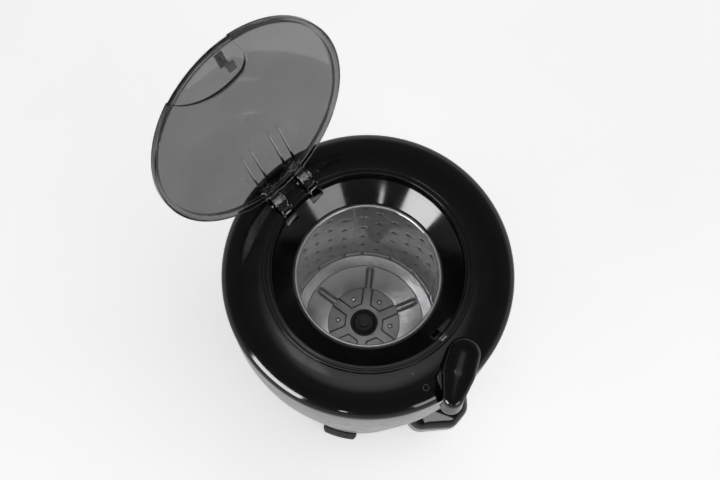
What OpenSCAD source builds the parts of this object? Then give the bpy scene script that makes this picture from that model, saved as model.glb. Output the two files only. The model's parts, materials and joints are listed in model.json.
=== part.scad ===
// Laundry spin dryer: barrel casing, top deck with loading funnel, smoked lid on two
// hooked arms, swinging lock lever, perforated drum on a motor shaft, front spout.
// Millimetres. Z is up, the floor is z = 0 and the drum axis is x = y = 0.
// The front (lock lever, latch, spout) is -Y and the lid hinge is at +Y.

/* [Casing] */
// Height of the lid seat above the floor
seat_z = 600; // [585:1:640]
// How far the casing's belly stands out past the deck's rim
belly_swell = 1.5; // [0.5:0.1:6]
// Depth of the belly below the lid seat
belly_drop = 100; // [80:1:120]
// Radius of the curve from the belly to the straight taper
belly_sweep = 900; // [600:10:1200]
// Taper of the casing below the belly, in degrees
casing_taper = 4.6; // [4:0.1:5]
// Wall thickness of the casing
casing_wall = 2; // [1.5:0.1:2.6]
// Height of the rubber feet
foot_h = 24; // [20:1:32]
// Width of one foot along the rim
foot_w = 56; // [46:1:64]

/* [Deck and funnel] */
// Width of the deck from the lid seat to its rim
deck_width = 49.1; // [47:0.1:56]
// How far the raised lid seat stands out past the drum's wall
seat_margin = 18.1; // [17:0.1:20]
// Height of the seat above the deck around it
seat_step = 3; // [2.6:0.1:4]
// Fall of the deck from the seat to its rim
crown_drop = 21; // [18:0.5:24]
// Depth of the deck's flange below its rim
flange_h = 13.7; // [12:0.1:16]
// Wall thickness of the deck and the funnel
deck_wall = 2.5; // [2:0.1:3]
// Land outside the groove in the seat, and the width of the groove
groove_land = 3; // [2.4:0.1:3.8]
groove_w = 2; // [1.8:0.1:2.4]
// Depth of the seat groove
groove_d = 1.2; // [0.8:0.1:1.6]
// Width of the seat from its outer edge to the funnel's throat
seat_land = 8.8; // [8:0.1:9.6]
// How far the funnel's lower mouth clears the drum's mouth
mouth_clear = 5.4; // [4.8:0.1:7]
// Depth of the funnel's mouth below the seat
mouth_drop = 36; // [34:0.5:38]
// Step in from the throat to the skirt that joins the funnel to the tub
skirt_step = 3.1; // [2.8:0.1:4]

/* [Lid] */
// How far the lid's skirt stands out past the seat
lid_lap = 2.2; // [1.9:0.1:3.2]
// Thickness of the lid plate and its skirt
lid_wall = 2.5; // [2:0.1:2.8]
// Height of the lid above the seat at its edge
lid_h = 6; // [5.5:0.1:7]
// Rise of the lid's crown at the centre
lid_crown = 2.5; // [1:0.1:4]
// How far the lid stands open at rest, in degrees
lid_open = 108.3; // [100:0.1:110]
// Distance of the hinge pins behind the seat's edge
hinge_back = 9.3; // [8.8:0.1:10.4]
// Depth of the hinge pins below the seat
hinge_drop = 8.2; // [8:0.1:9]
// Radius of the hinge pins
hinge_pin_r = 2; // [1.6:0.1:2.2]
// Distance of each hinge arm from the centre line
arm_x = 20.5; // [18:0.5:26]
// Width of one hinge arm
arm_w = 15.4; // [13:0.2:17]
// Thickness of the arm's two fins and its web
fin_t = 1.8; // [1.4:0.1:2.4]
// Reach of the arm's fins and of its web from the pin
fin_r = 27; // [25:0.1:27.4]
web_r = 21; // [18:0.1:22]

/* [Lock lever] */
// Place of the lever's spindle: beside the centre line, and in from the deck's rim
lever_x = -28; // [-32:0.5:-24]
lever_inset = 20.5; // [18.5:0.5:22.5]
// Swing of the lever from open to locked, in degrees
lever_swing = 40; // [30:1:42]
// Radius of the lever's bulb
bulb_r = 19; // [16:0.5:20]
// Height of the lever's flat underside above the seat
lever_lift = 3.6; // [3.4:0.1:4.5]
// Radius of the spindle
spindle_r = 5; // [4:0.1:6]

/* [Drum] */
// Inside radius of the drum
drum_r = 105.3; // [103:0.1:106]
// Sheet thickness of the drum
drum_wall = 1; // [0.8:0.1:1.4]
// How far the drum's rolled mouth is drawn in from its wall
mouth_inset = 21.2; // [20:0.1:24]
// Radius of the rolled bead at the mouth
bead_r = 1.9; // [1.5:0.1:2.2]
// Depth of the drum's bead below the seat
bead_drop = 37.7; // [37:0.1:40]
// Depth of the drum's floor below the seat
drum_floor_drop = 331; // [320:1:335]
// Radius of the wall's drain holes
hole_r = 2.2; // [1.2:0.1:2.8]
// Columns of drain holes, the first and last beside the weld seam
hole_columns = 31; // [15:2:35]
// Drain holes in one column
holes_per_column = 6; // [4:1:7]
// Where the weld seam runs up the wall, in degrees from +X
weld_turn = 54; // [0:1:359]
// Length and half width of the ribs pressed in the floor
rib_reach = 85; // [75:1:90]
rib_half_w = 5.5; // [4:0.1:7]
// Radius of the riveted hub plate
hub_plate_r = 52.9; // [48:0.1:58]
// Half width of the star's arms on the hub plate
star_half_w = 6; // [5:0.1:7]
// Radius of the hub cap
hub_cap_r = 20.1; // [19:0.1:23]

/* [Tub, hose and spout] */
// Room between the drum and the water tub around it
tub_clear = 14.2; // [12:0.1:17]
// Wall thickness of the tub
tub_wall = 2.5; // [2:0.1:3]
// Bore radius of the drain hose
hose_bore_r = 13.1; // [12:0.1:14]
// Wall thickness of the hose
hose_wall = 2.9; // [2:0.1:3.5]
// Height of the spout's nipple above the floor
spout_z = 176; // [172:1:180]
// Width of the spout's hood
spout_w = 118; // [108:1:124]
// How far the spout stands out of the casing
spout_out = 48; // [42:1:54]
// Turn of the spout from the front, in degrees
spout_turn = 5; // [0:1:10]

/* [Drive] */
// Radius of the drum shaft
shaft_r = 7; // [6:0.1:8]
// Radius and height of the motor's stator
stator_r = 52; // [46:0.5:58]
stator_h = 56; // [46:1:64]
// Radius of the rotor
rotor_r = 30.6; // [26:0.1:34]
// Outer radius of the ball bearings
bearing_r = 17.5; // [16:0.1:20]
// Height of one ball bearing
bearing_h = 11; // [9:0.5:13]
// Height of the motor carrier's underside above the floor
carrier_z = 184; // [182:0.5:188]
// Radius of the brake drum on the shaft
brake_r = 34; // [28:0.5:38]
// Swing of the brake arm when the lever locks, in degrees
brake_swing = 5; // [3:0.5:6]
// Distance of the rubber buffers in from the casing's lower lip
buffer_inset = 18.8; // [16:0.2:23]

/* [Hidden] */
$fn = 96;
gap = 0.3;            // clearance between bodies that move past each other
fit = 0.05;           // running clearance of pins and shafts in their bores
seam = 0.1;           // clearance between pieces of one body that nest

// --- driving places worked out from the sizes above ---
seat_r = drum_r + seat_margin;
deck_rim_r = seat_r + deck_width;
belly_r = deck_rim_r + belly_swell;
groove_out_r = seat_r - groove_land;
groove_in_r = groove_out_r - groove_w;
throat_r = seat_r - seat_land;
skirt_r = throat_r - skirt_step;
lid_r = seat_r + lid_lap;
hinge_y = seat_r + hinge_back;
lever_y = lever_inset - deck_rim_r;
drum_mouth_r = drum_r - mouth_inset;
mouth_r = drum_mouth_r + mouth_clear;
tub_r = drum_r + tub_clear;
belly_z = seat_z - belly_drop;
taper_start = belly_sweep * tan(casing_taper);        // below the belly
taper_z = belly_z - taper_start;
taper_r = belly_r - taper_start * tan(casing_taper) / 2;
rim_z = seat_z - seat_step - crown_drop;              // deck rim
flange_z = rim_z - flange_h;                          // deck's lower edge
shadow_gap = 1.3;                                     // open line under the deck
casing_top_z = flange_z - shadow_gap;
casing_z = foot_h + 2;                                // casing's lower edge
deck_in_r = seat_r + 0.6;
flange_r = deck_rim_r - 0.8;
tongue_r = flange_r - 2.1;                            // casing's tongue inside the deck
pan_z = casing_z + casing_wall;
pan_t = 3;
hinge_z = seat_z - hinge_drop;
mouth_z = seat_z - mouth_drop;
drum_top_z = seat_z - bead_drop;
floor_z = seat_z - drum_floor_drop;                   // top of the drum's floor
tub_top_z = seat_z - 52;
collar_z = seat_z - 38;
tub_floor_z = floor_z - 43;
lever_z = seat_z + lever_lift;
plinth_z = lever_z - 1;
claw_z = seat_z - 17;
foot_turns = [-150, -30, 90];
casing_shoulder = pow(belly_z - casing_top_z, 2) / (2 * (belly_r - flange_r));

// Barrel radius of the casing at height z
function casing_r(z) =
    z >= belly_z ? belly_r - pow(z - belly_z, 2) / (2 * casing_shoulder)
    : z >= taper_z ? belly_r - pow(belly_z - z, 2) / (2 * belly_sweep)
    : taper_r - (taper_z - z) * tan(casing_taper);

// Height of the deck's elliptical crown at radius r
function crown_z(r, top = seat_z - seat_step, rim = deck_rim_r, drop = crown_drop) =
    top - drop * (1 - sqrt(max(0, 1 - pow((r - deck_in_r) / (rim - deck_in_r), 2))));

// Radius at share t of the crown, with finer steps toward its rim
function crown_step(t) = deck_in_r + (deck_rim_r - deck_in_r) * sin(90 * t);

// Height of the deck's underside at radius r
function deck_under(r) = crown_z(r, seat_z - seat_step - deck_wall, deck_rim_r - deck_wall, crown_drop - deck_wall);

// Point at share t of a quadratic curve
function curve(a, b, c, t) = (1 - t) * (1 - t) * a + 2 * t * (1 - t) * b + t * t * c;

// Underside of the domed lid, and its top
function lid_top(r) = seat_z + lid_h + lid_crown * (1 - pow(r / lid_r, 2));

module ring(r_out, r_in, z0, z1) {
    rotate_extrude() translate([r_in, z0]) square([r_out - r_in, z1 - z0]);
}
module at(turn, r, z = 0) { rotate([0, 0, turn]) translate([r, 0, z]) children(); }
module along_x(p) { translate(p) rotate([0, 90, 0]) children(); }

// ---------- casing and base ----------
module casing() {
    steps = 22;
    heights = [for (i = [0:steps]) casing_z + (casing_top_z - casing_z) * i / steps];
    wall = [for (z = heights) [casing_r(z), z]];
    lining = [for (i = [steps - 1:-1:1]) [casing_r(heights[i]) - casing_wall, heights[i]]];
    color("silver") difference() {
        rotate_extrude() polygon(concat(
            [[casing_lip_r, casing_z]], wall,
            [[tongue_r, casing_top_z], [tongue_r, rim_z - 2], [tongue_r - casing_wall, rim_z - 2],
             [tongue_r - casing_wall, casing_top_z - 6]],
            lining,
            [[casing_r(pan_z) - casing_wall, pan_z], [casing_lip_r, pan_z]]));
        outlet_side() {
            spout_port(hose_bore_r + hose_wall + 1);
            for (s = [-1, 1]) spout_screw_line(s) cylinder(r = spout_screw_r + 0.4, h = 40, center = true);
        }
        at(gland_turn, casing_r(gland_z), gland_z) rotate([0, 90, 0]) cylinder(r = gland_r, h = 40, center = true);
        for (a = base_screw_turns) at(a, base_screw_at, casing_z) cylinder(r = 2.2, h = 12, center = true);
    }
}

casing_lip_r = casing_r(casing_z) - 12;
base_screw_at = casing_lip_r + 5;
buffer_r = casing_lip_r - buffer_inset;
base_screw_turns = [for (k = [0:5]) 60 * k];
gland_turn = 62;
gland_z = 62;
gland_r = 8;

module base_pan() {
    pan_r = casing_r(pan_z) - casing_wall - seam;
    color("dimgray") difference() {
        union() {
            rotate_extrude() polygon([[0, pan_z], [pan_r, pan_z], [pan_r + 0.4, pan_z + 8],
                [pan_r - 2, pan_z + 8], [pan_r - 2.4, pan_z + pan_t], [0, pan_z + pan_t]]);
            for (a = foot_turns) at(a, buffer_r, pan_z + pan_t / 2) {
                cylinder(r1 = 21, r2 = 15, h = tower_top - pan_z - pan_t / 2);
                for (s = [0:3]) rotate([0, 0, 90 * s]) translate([0, -1.2, 0]) cube([24, 2.4, 30]);
            }
            at(box_turn, box_foot_r, pan_z + pan_t / 2) cylinder(r = 5, h = box_foot_h + pan_t / 2);
        }
        for (a = foot_turns) at(a, buffer_r) {
            translate([0, 0, pan_z - 1]) cylinder(r1 = 17.5, r2 = 11, h = tower_top - pan_z - 8);
            translate([0, 0, tower_top - 12]) cylinder(r = 4.2, h = 20);
        }
        for (a = foot_turns) for (s = [-1, 1]) at(a, foot_screw_at.x) translate([0, s * foot_screw_at.y, pan_z - 5])
            cylinder(r = 1.6, h = 20);
        for (a = base_screw_turns) at(a, base_screw_at, pan_z - 5) cylinder(r = 1.6, h = 20);
        for (k = [0:11]) at(15 + 30 * k, 72, pan_z - 1) translate([-10, -2.5, 0]) cube([20, 5, pan_t + 2]);
    }
}
tower_top = carrier_z - 36;
foot_screw_at = [casing_lip_r - 6, foot_w * 0.34];

module base_screws() {
    color("gray") for (a = base_screw_turns) at(a, base_screw_at, casing_z) {
        translate([0, 0, -2]) cylinder(r = 3.6, h = 2);
        cylinder(r = 1.55, h = casing_wall + pan_t + 4);
    }
}

// A rubber shoe with a lip that hugs the casing's lower edge
module foot(turn) {
    lip_h = 15;
    shoe_in = casing_lip_r - 21;
    shoe_r = casing_r(casing_z) + 9;
    top = casing_z - gap;
    color("#1c1c1e") rotate([0, 0, turn]) difference() {
        union() {
            intersection() {
                rotate_extrude() polygon([[shoe_in, 0], [shoe_r - 2.5, 0], [shoe_r, 2.5], [shoe_r - 1, top],
                    [casing_lip_r - gap, top], [casing_lip_r - gap, pan_z - seam], [shoe_in, pan_z - seam]]);
                rounded_slab(shoe_in - 1, shoe_r, foot_w / 2, 10, 0, pan_z);
            }
            intersection() {
                rotate_extrude() polygon([[casing_r(casing_z) + gap, top - 0.5], [shoe_r - 1, top - 0.5],
                    [casing_r(casing_z + lip_h) + 4.2, casing_z + lip_h - 3],
                    [casing_r(casing_z + lip_h) + 2.4, casing_z + lip_h],
                    [casing_r(casing_z + lip_h) + gap, casing_z + lip_h]]);
                rounded_slab(shoe_in, shoe_r, foot_w / 2 - 1, 10, casing_z - 2, casing_z + lip_h + 1);
            }
        }
        for (s = [-1, 1]) translate([foot_screw_at.x, s * foot_screw_at.y, 0]) {
            translate([0, 0, -1]) cylinder(r = 5, h = 9);
            translate([0, 0, 7]) cylinder(r = 1.7, h = 40);
        }
        for (k = [-2:2]) translate([shoe_in - 1, k * foot_w / 7 - 1, -1]) cube([13, 2, 2.5]);
    }
}
// Slab with its outer corners rounded
module rounded_slab(x0, x1, half, r, z0, z1) {
    translate([x0, -half, z0]) cube([x1 - r - x0, 2 * half, z1 - z0]);
    translate([x0, -half + r, z0]) cube([x1 - x0, 2 * (half - r), z1 - z0]);
    for (s = [-1, 1]) translate([x1 - r, s * (half - r), z0]) cylinder(r = r, h = z1 - z0);
}
module foot_left() { foot(foot_turns[0]); }
module foot_right() { foot(foot_turns[1]); }
module foot_rear() { foot(foot_turns[2]); }
module foot_screws() {
    color("gray") for (a = foot_turns) for (s = [-1, 1])
        at(a, foot_screw_at.x) translate([0, s * foot_screw_at.y, 0]) {
        translate([0, 0, 5]) cylinder(r = 4, h = 3);
        translate([0, 0, 7]) cylinder(r = 1.55, h = pan_z + pan_t - 5);
    }
}

// ---------- deck and funnel ----------
module arm_slots(y_end) {
    for (s = [-1, 1]) translate([s * arm_x - arm_w / 2 - 1, slot_in, seat_z - 37])
        cube([arm_w + 2, y_end - slot_in, 60]);
}
slot_in = hinge_y - fin_r - 1.2;
slot_out = hinge_y + 8.5;

module deck() {
    steps = 16;
    crown = [for (i = [0:steps]) let (r = crown_step(i / steps)) [r, crown_z(r)]];
    inner_rim = deck_rim_r - deck_wall;
    under = [for (i = [steps:-1:0]) let (t = sin(90 * i / steps), r = deck_in_r + (inner_rim - deck_in_r) * t)
        [r, deck_under(r)]];
    color("#101012") difference() {
        union() {
            rotate_extrude() polygon(concat(crown, [
                [deck_rim_r, rim_z - 2.5], [deck_rim_r - 1.2, rim_z - 3.3], [deck_rim_r - 1.2, rim_z - 5.4],
                [deck_rim_r - 0.4, rim_z - 6.2], [flange_r, flange_z], [tongue_r + gap, flange_z]], under));
            hinge_ears();
        }
        arm_slots(slot_out);
        // pockets that clear the ends of the hinge pins, and their bores in the ears
        for (s = [-1, 1]) along_x([s * arm_x, hinge_y, hinge_z]) {
            cylinder(r = hinge_pin_r + 1, h = arm_w + 3.4, center = true);
            cylinder(r = hinge_pin_r + 0.02, h = arm_w + 8, center = true);
        }
        translate([lever_x, lever_y, seat_z - 40]) cylinder(r = spindle_r + 3.1, h = 60);
        for (a = deck_screw_turns) at(a, deck_screw_r, seat_z - 12) cylinder(r = 1.2, h = 8.2);
    }
}
// Ears moulded under the deck on both sides of each arm, which carry the hinge pins
module hinge_ears() {
    ear_r = hinge_pin_r + 3;
    for (s = [-1, 1]) for (t = [-1, 1])
        translate([s * arm_x + t * (arm_w / 2 + 3.1), hinge_y, hinge_z]) rotate([90, 0, 90])
        linear_extrude(3, center = true) union() {
            circle(ear_r);
            polygon([[-ear_r, 0], [ear_r, 0], [ear_r + 4, deck_under(hinge_y + ear_r + 4) - hinge_z + 0.6],
                [-ear_r - 1, deck_under(hinge_y - ear_r - 1) - hinge_z + 0.6]]);
        }
}
deck_screw_turns = [0, 45, 135, 180, 225, 315];
deck_screw_r = seat_r + 4;

module deck_screws() {
    color("gray") for (a = deck_screw_turns) at(a, deck_screw_r, seat_z - 10.4) {
        cylinder(r = 3, h = 2);
        cylinder(r = 1.15, h = 6.2);
    }
}

module funnel() {
    steps = 10;
    a = [throat_r, seat_z];
    c = [mouth_r, mouth_z];
    b = [throat_r - 9.6, mouth_z + 9];
    a2 = [throat_r + 2.4, seat_z - 2.8];
    b2 = b + [2, -2];
    c2 = [mouth_r + 0.7, mouth_z - 2.7];
    ledge_z = seat_z - seat_step - deck_wall - 0.4;
    color("#0c0c0e") difference() {
        union() {
            rotate_extrude() polygon(concat(
                [[seat_r - deck_wall, ledge_z - 2.2], [seat_r + 5.6, ledge_z - 2.2], [seat_r + 5.6, ledge_z],
                 [seat_r, ledge_z], [seat_r, seat_z - 0.6], [seat_r - 0.6, seat_z],
                 [groove_out_r, seat_z], [groove_out_r, seat_z - groove_d],
                 [groove_in_r, seat_z - groove_d], [groove_in_r, seat_z]],
                [for (i = [0:steps]) curve(a, b, c, i / steps)],
                [[mouth_r - 0.3, mouth_z - 1], [mouth_r + 0.1, mouth_z - 2.4]],
                [for (i = [steps:-1:0]) curve(a2, b2, c2, i / steps)],
                [[groove_out_r + 0.4, seat_z - deck_wall - groove_d]]));
            rotate_extrude() polygon([[skirt_r - deck_wall, collar_z - 10], [skirt_r, collar_z - 10],
                [skirt_r, seat_z - 12], [skirt_r - deck_wall, seat_z - 15]]);
        }
        arm_slots(slot_out);
        // latch slot through the seat, and the window that the lock claw swings in through
        translate([latch_x - 5.5, -latch_out, seat_z - 34]) cube([11, latch_out - latch_in, 60]);
        translate([latch_x - 7, -skirt_r - 2, claw_z - 2]) cube([32, 8, 7]);
        // room in the flange for the deck's hinge ears
        for (s = [-1, 1]) translate([s * arm_x - arm_w / 2 - 5, seat_r + 0.4, seat_z - 12]) cube([arm_w + 10, 20, 9]);
        for (t = deck_screw_turns) at(t, deck_screw_r, seat_z - 12) cylinder(r = 1.4, h = 12);
    }
}
latch_x = 2.5;
latch_out = groove_out_r - 0.6;
latch_in = latch_out - 14.5;
latch_foot = 10;        // radial length of the hook's foot

// A pad on the deck under the lever, level on top and seated on the crown
module lever_plinth() {
    color("#101012") difference() {
        intersection() {
            translate([0, 0, rim_z]) linear_extrude(plinth_z - rim_z) {
                hull() {
                    translate(bulb) circle(bulb_r - 3);
                    translate(waist) circle(waist_r - 2.4);
                }
                hull() {
                    translate(waist) circle(waist_r - 2.4);
                    translate([lever_x, lever_y]) circle(spindle_r + 6);
                    translate(heel) circle(spindle_r + 4);
                }
            }
            ring(deck_rim_r - 1, lid_r + 0.9, rim_z - 5, plinth_z + 5);
        }
        crown_block(0.02);
        translate([lever_x, lever_y, rim_z - 20]) cylinder(r = spindle_r + 3.1, h = 80);
    }
}
// Centres of the lever's bulb, waist and heel in plan
bulb = [lever_x + 31.8, lever_y + 4.7];
waist = [lever_x + 13, lever_y - 5.5];
heel = [lever_x - 11.2, lever_y - 20.4];
waist_r = bulb_r + 0.3;

// Everything under the deck's crown, grown by a little
module crown_block(grow) {
    steps = 16;
    rotate_extrude() polygon(concat([[0, rim_z - 30], [0, crown_z(deck_in_r) + grow]],
        [for (i = [0:steps]) let (r = crown_step(i / steps)) [r, crown_z(r) + grow]],
        [[deck_rim_r, rim_z - 30]]));
}

// ---------- lid ----------
// The swoosh-shaped step in the lid that the lever swings over
module recess_outline(grow) {
    translate([lever_x, lever_y]) intersection() {
        translate([26, 10]) circle(recess_r + grow);
        union() {
            translate([36 - recess_r, -48]) square([recess_r, 200]);
            translate([36, 64]) circle(20 + grow);
            polygon([[35, 64], [56 + grow, 64], [49.5 + grow, 37], [48 + grow, 12], [35, 12]]);
        }
    }
}

recess_r = 74;          // sweep of the recess round the lever

module lid_shell() {
    steps = 10;
    skirt_in = seat_r + 0.5;
    skirt_z = seat_z - seat_step + 0.5;
    radii = [for (i = [0:steps]) (lid_r - 4) * (1 - i / steps)];
    rotate_extrude() polygon(concat(
        [[skirt_in, skirt_z], [lid_r, skirt_z], [lid_r, seat_z + 1.2], [lid_r - 1.1, seat_z + lid_h - 1.7]],
        [for (r = radii) [r, lid_top(r)]],
        [for (i = [steps:-1:0]) [radii[i], lid_top(radii[i]) - lid_wall]],
        [[skirt_in, seat_z + lid_h - lid_wall - 0.8]]));
    // locating rib in the seat's groove
    rotate_extrude() translate([groove_in_r + 0.3, seat_z - groove_d + gap])
        square([groove_out_r - groove_in_r - 0.6, lid_h + groove_d - lid_wall]);
}

// One hooked arm, drawn with the lid closed: two fins that run on under the lid as
// tapering ribs, joined by a web that bends round the hinge pin
module hinge_arm() {
    rib_tip = 28;
    for (s = [-1, 1]) translate([s * (arm_w - fin_t) / 2 - fin_t / 2, 0, 0])
        rotate([90, 0, 90]) linear_extrude(fin_t) union() {
            polygon([[rib_tip, lid_top(rib_tip) - 1], [70, lid_top(70) - 1], [118, lid_top(118) - 1],
                [118, hinge_z + 9], [hinge_y - fin_r + 0.3, hinge_z + 3.8], [100, lid_top(100) - 10],
                [70, lid_top(70) - lid_wall - 3.5]]);
            intersection() {
                translate([hinge_y, hinge_z]) circle(fin_r);
                polygon([[hinge_y, hinge_z + 1], [0, hinge_z + 18], [0, hinge_z - 90],
                    [hinge_y + 19.6, hinge_z - 90], [hinge_y + 2, hinge_z]]);
            }
            translate([hinge_y, hinge_z]) circle(hinge_pin_r + 3.2);
        }
    translate([-arm_w / 2 + fin_t / 2, 0, 0]) rotate([90, 0, 90]) linear_extrude(arm_w - fin_t) union() {
        intersection() {
            difference() {
                translate([hinge_y, hinge_z]) circle(web_r);
                translate([hinge_y, hinge_z]) circle(web_r - fin_t);
            }
            polygon([[hinge_y, hinge_z], [hinge_y - 60, hinge_z + 4], [hinge_y - 60, hinge_z - 60],
                [hinge_y, hinge_z - 60]]);
        }
        polygon([[hinge_y - web_r, hinge_z], [hinge_y - web_r + fin_t, hinge_z],
            [hinge_y - web_r + 5, lid_top(115) - 1], [hinge_y - web_r + 3, lid_top(115) - 1]]);
    }
    // round moulding boss on the web
    translate([0, hinge_y, hinge_z]) rotate([224 - 180, 0, 0]) translate([0, -web_r - 0.9, 0]) rotate([-90, 0, 0])
        difference() {
            cylinder(r = 3.6, h = 2);
            translate([0, 0, -1]) cylinder(r = 1.6, h = 1.6);
        }
}

// Turns what is drawn with the lid closed to where the lid stands open
module opened() {
    translate([0, hinge_y, hinge_z]) rotate([-lid_open, 0, 0]) translate([0, -hinge_y, -hinge_z]) children();
}

module lid() {
    floor_top = lever_z - 0.9;
    color([0.35, 0.35, 0.37, 0.55]) opened() difference() {
        union() {
            difference() {
                lid_shell();
                translate([0, 0, floor_top]) linear_extrude(40) recess_outline(0);
            }
            intersection() {
                translate([0, 0, seat_z + 0.4]) linear_extrude(40) difference() {
                    recess_outline(1.6);
                    recess_outline(0);
                }
                lid_envelope();
            }
            intersection() {
                translate([0, 0, seat_z + 0.4]) linear_extrude(floor_top - seat_z - 0.4) recess_outline(0.2);
                lid_envelope();
            }
            for (s = [-1, 1]) translate([s * arm_x, 0, 0]) hinge_arm();
        }
        for (s = [-1, 1]) along_x([s * arm_x, hinge_y, hinge_z]) cylinder(r = hinge_pin_r + fit, h = 40, center = true);
    }
}
// The lid's outside as a filled solid
module lid_envelope() {
    rotate_extrude() polygon(concat(
        [[0, seat_z - 1], [lid_r - 0.2, seat_z - 1], [lid_r - 0.2, seat_z + 1.2], [lid_r - 1.1, seat_z + lid_h - 1.7]],
        [for (i = [0:8]) let (r = (lid_r - 4) * (1 - i / 8)) [r, lid_top(r)]]));
}

// Latch hook under the lid's front edge: a stem with a foot for the claw
module latch_hook() {
    foot_z = claw_z - 4;
    lid_under = seat_z + 0.4;
    stem_y = -latch_in - 4;
    color("#18181a") opened() translate([latch_x, 0, 0]) {
        translate([-3, stem_y, foot_z]) cube([6, 3, lid_under - foot_z]);
        translate([-4.5, stem_y + 3 - latch_foot, foot_z]) cube([9, latch_foot, 3]);
        translate([-1, stem_y + 1 - latch_foot + 2, seat_z - 9]) cube([2, latch_foot + 6, 9.4]);
        translate([-4.5, stem_y + 3 - latch_foot, seat_z - 2]) cube([9, latch_foot + 8, 2.4]);
    }
}

module hinge_pins() {
    color("silver") for (s = [-1, 1]) along_x([s * arm_x, hinge_y, hinge_z]) {
        cylinder(r = hinge_pin_r, h = arm_w + 8, center = true);
    }
}

// Bent strip of spring steel on the outer wall of the latch slot that holds the shut lid
module catch_spring() {
    strip = 0.8;
    back = -latch_out + 0.1;
    color("lightgray") translate([latch_x, 0, 0]) rotate([90, 0, 90]) linear_extrude(8, center = true) polygon([
        [back, seat_z - 2], [back + strip, seat_z - 2], [back + strip, seat_z - 5], [back + 2.4, seat_z - 8],
        [back + strip, seat_z - 12], [back, seat_z - 12], [back + 2.4 - strip, seat_z - 8], [back, seat_z - 5]]);
}

// ---------- lock lever ----------
module blob(p, r, h) { translate(p) scale([1, 1, h / r]) sphere(r = r, $fn = 32); }
module about_lever() { translate([lever_x, lever_y, 0]) children(); }

module lock_lever() {
    heel_r = bulb_r - 6.4;
    grip_r = bulb_r - 5.6;
    grip = [lever_x - 13.5, lever_y - 22.6, rim_z + 1];
    clear_r = deck_rim_r + 2.6;
    color("#0a0a0c") difference() {
        union() {
            hull() {
                blob([bulb.x, bulb.y, lever_z + 2], bulb_r, 10.5);
                blob([waist.x, waist.y, lever_z + 2], waist_r, 10.5);
            }
            hull() {
                blob([waist.x, waist.y, lever_z + 2], waist_r, 10.5);
                blob([heel.x, heel.y, lever_z - 3], heel_r, 10);
            }
            hull() {
                blob([heel.x, heel.y, lever_z - 3], heel_r, 10);
                blob(grip, grip_r, 12);
            }
        }
        // clear of the deck and the lid through the whole swing
        for (turn = [0, 0.5, 1]) about_lever() rotate([0, 0, -turn * lever_swing]) translate([-lever_x, -lever_y, 0])
            translate([0, 0, lever_z - 60]) cylinder(r = clear_r, h = 60);
        about_lever() translate([0, 0, lever_z - 1]) cylinder(r = spindle_r + 0.02, h = 6);
    }
}

// Spindle with the claw that hooks over the latch foot and the crank of the brake cable
module lever_spindle() {
    catch = [latch_x + 0.3, -latch_in - 9];
    reach = norm([catch.x - lever_x, catch.y - lever_y]);
    locked = atan2(catch.y - lever_y, catch.x - lever_x);
    color("gray") about_lever() {
        translate([0, 0, crank_z - 2]) cylinder(r = spindle_r, h = lever_z + 4 - crank_z + 2);
        rotate([0, 0, locked - lever_swing]) {
            translate([0, 0, arm_z]) cylinder(r = 8, h = claw_t);
            translate([0, -4, arm_z]) cube([reach - 8, 8, claw_t]);
            translate([reach - 8, 0, arm_z]) cylinder(r = 4, h = claw_z - arm_z + claw_t);
            translate([reach - 8, -4, claw_z]) cube([8, 8, claw_t]);
            translate([reach, 0, claw_z]) cylinder(r = 4, h = claw_t);
        }
        rotate([0, 0, 170]) {
            translate([0, 0, crank_z]) cylinder(r = 8, h = claw_t);
            translate([0, -3, crank_z]) cube([crank_reach, 6, claw_t]);
            translate([crank_reach, 0, crank_z]) cylinder(r = 3, h = claw_t + 2);
        }
    }
}
claw_t = 3;
arm_z = claw_z - 7;       // claw's arm at the spindle
crank_z = arm_z - 9;
crank_reach = 12;

module lever_bush() {
    bush_z = deck_under(norm([lever_x, lever_y]) + spindle_r + 4.4) - 0.2;
    color("ivory") about_lever() difference() {
        union() {
            translate([0, 0, bush_z - 2.4]) cylinder(r = spindle_r + 4.4, h = 2.4);
            translate([0, 0, bush_z - 0.5]) cylinder(r = spindle_r + 3, h = plinth_z - bush_z + 0.5);
        }
        translate([0, 0, bush_z - 10]) cylinder(r = spindle_r + fit, h = 60);
    }
}
module retaining_rings() {
    ring_z = arm_z + claw_t + 0.05;
    color("silver") about_lever() difference() {
        translate([0, 0, ring_z]) cylinder(r = spindle_r + 2.2, h = 1.2);
        translate([0, 0, ring_z - 1]) cylinder(r = spindle_r, h = 12);
        translate([0, -1.6, ring_z - 1]) cube([20, 3.2, 12]);
    }
}

// Micro-switch beside the spindle, hung from the deck on a tab
module start_switch() {
    switch_at = norm([lever_x, lever_y]) - 16.5;
    body_z = arm_z - 11.5;
    color("#202022") at(atan2(lever_y, lever_x), switch_at) {
        translate([-7, -14, body_z]) cube([14, 28, 10]);
        translate([7, -1.5, body_z + 3.5]) cube([1.2, 3, 3]);
        for (y = [-8, 8]) translate([-0.4, y - 1.5, body_z - 6]) cube([0.8, 3, 6.5]);
        translate([-6, -16, body_z + 2]) cube([12, 2.5, deck_under(switch_at + 8) - 0.3 - body_z - 2]);
    }
}

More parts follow.
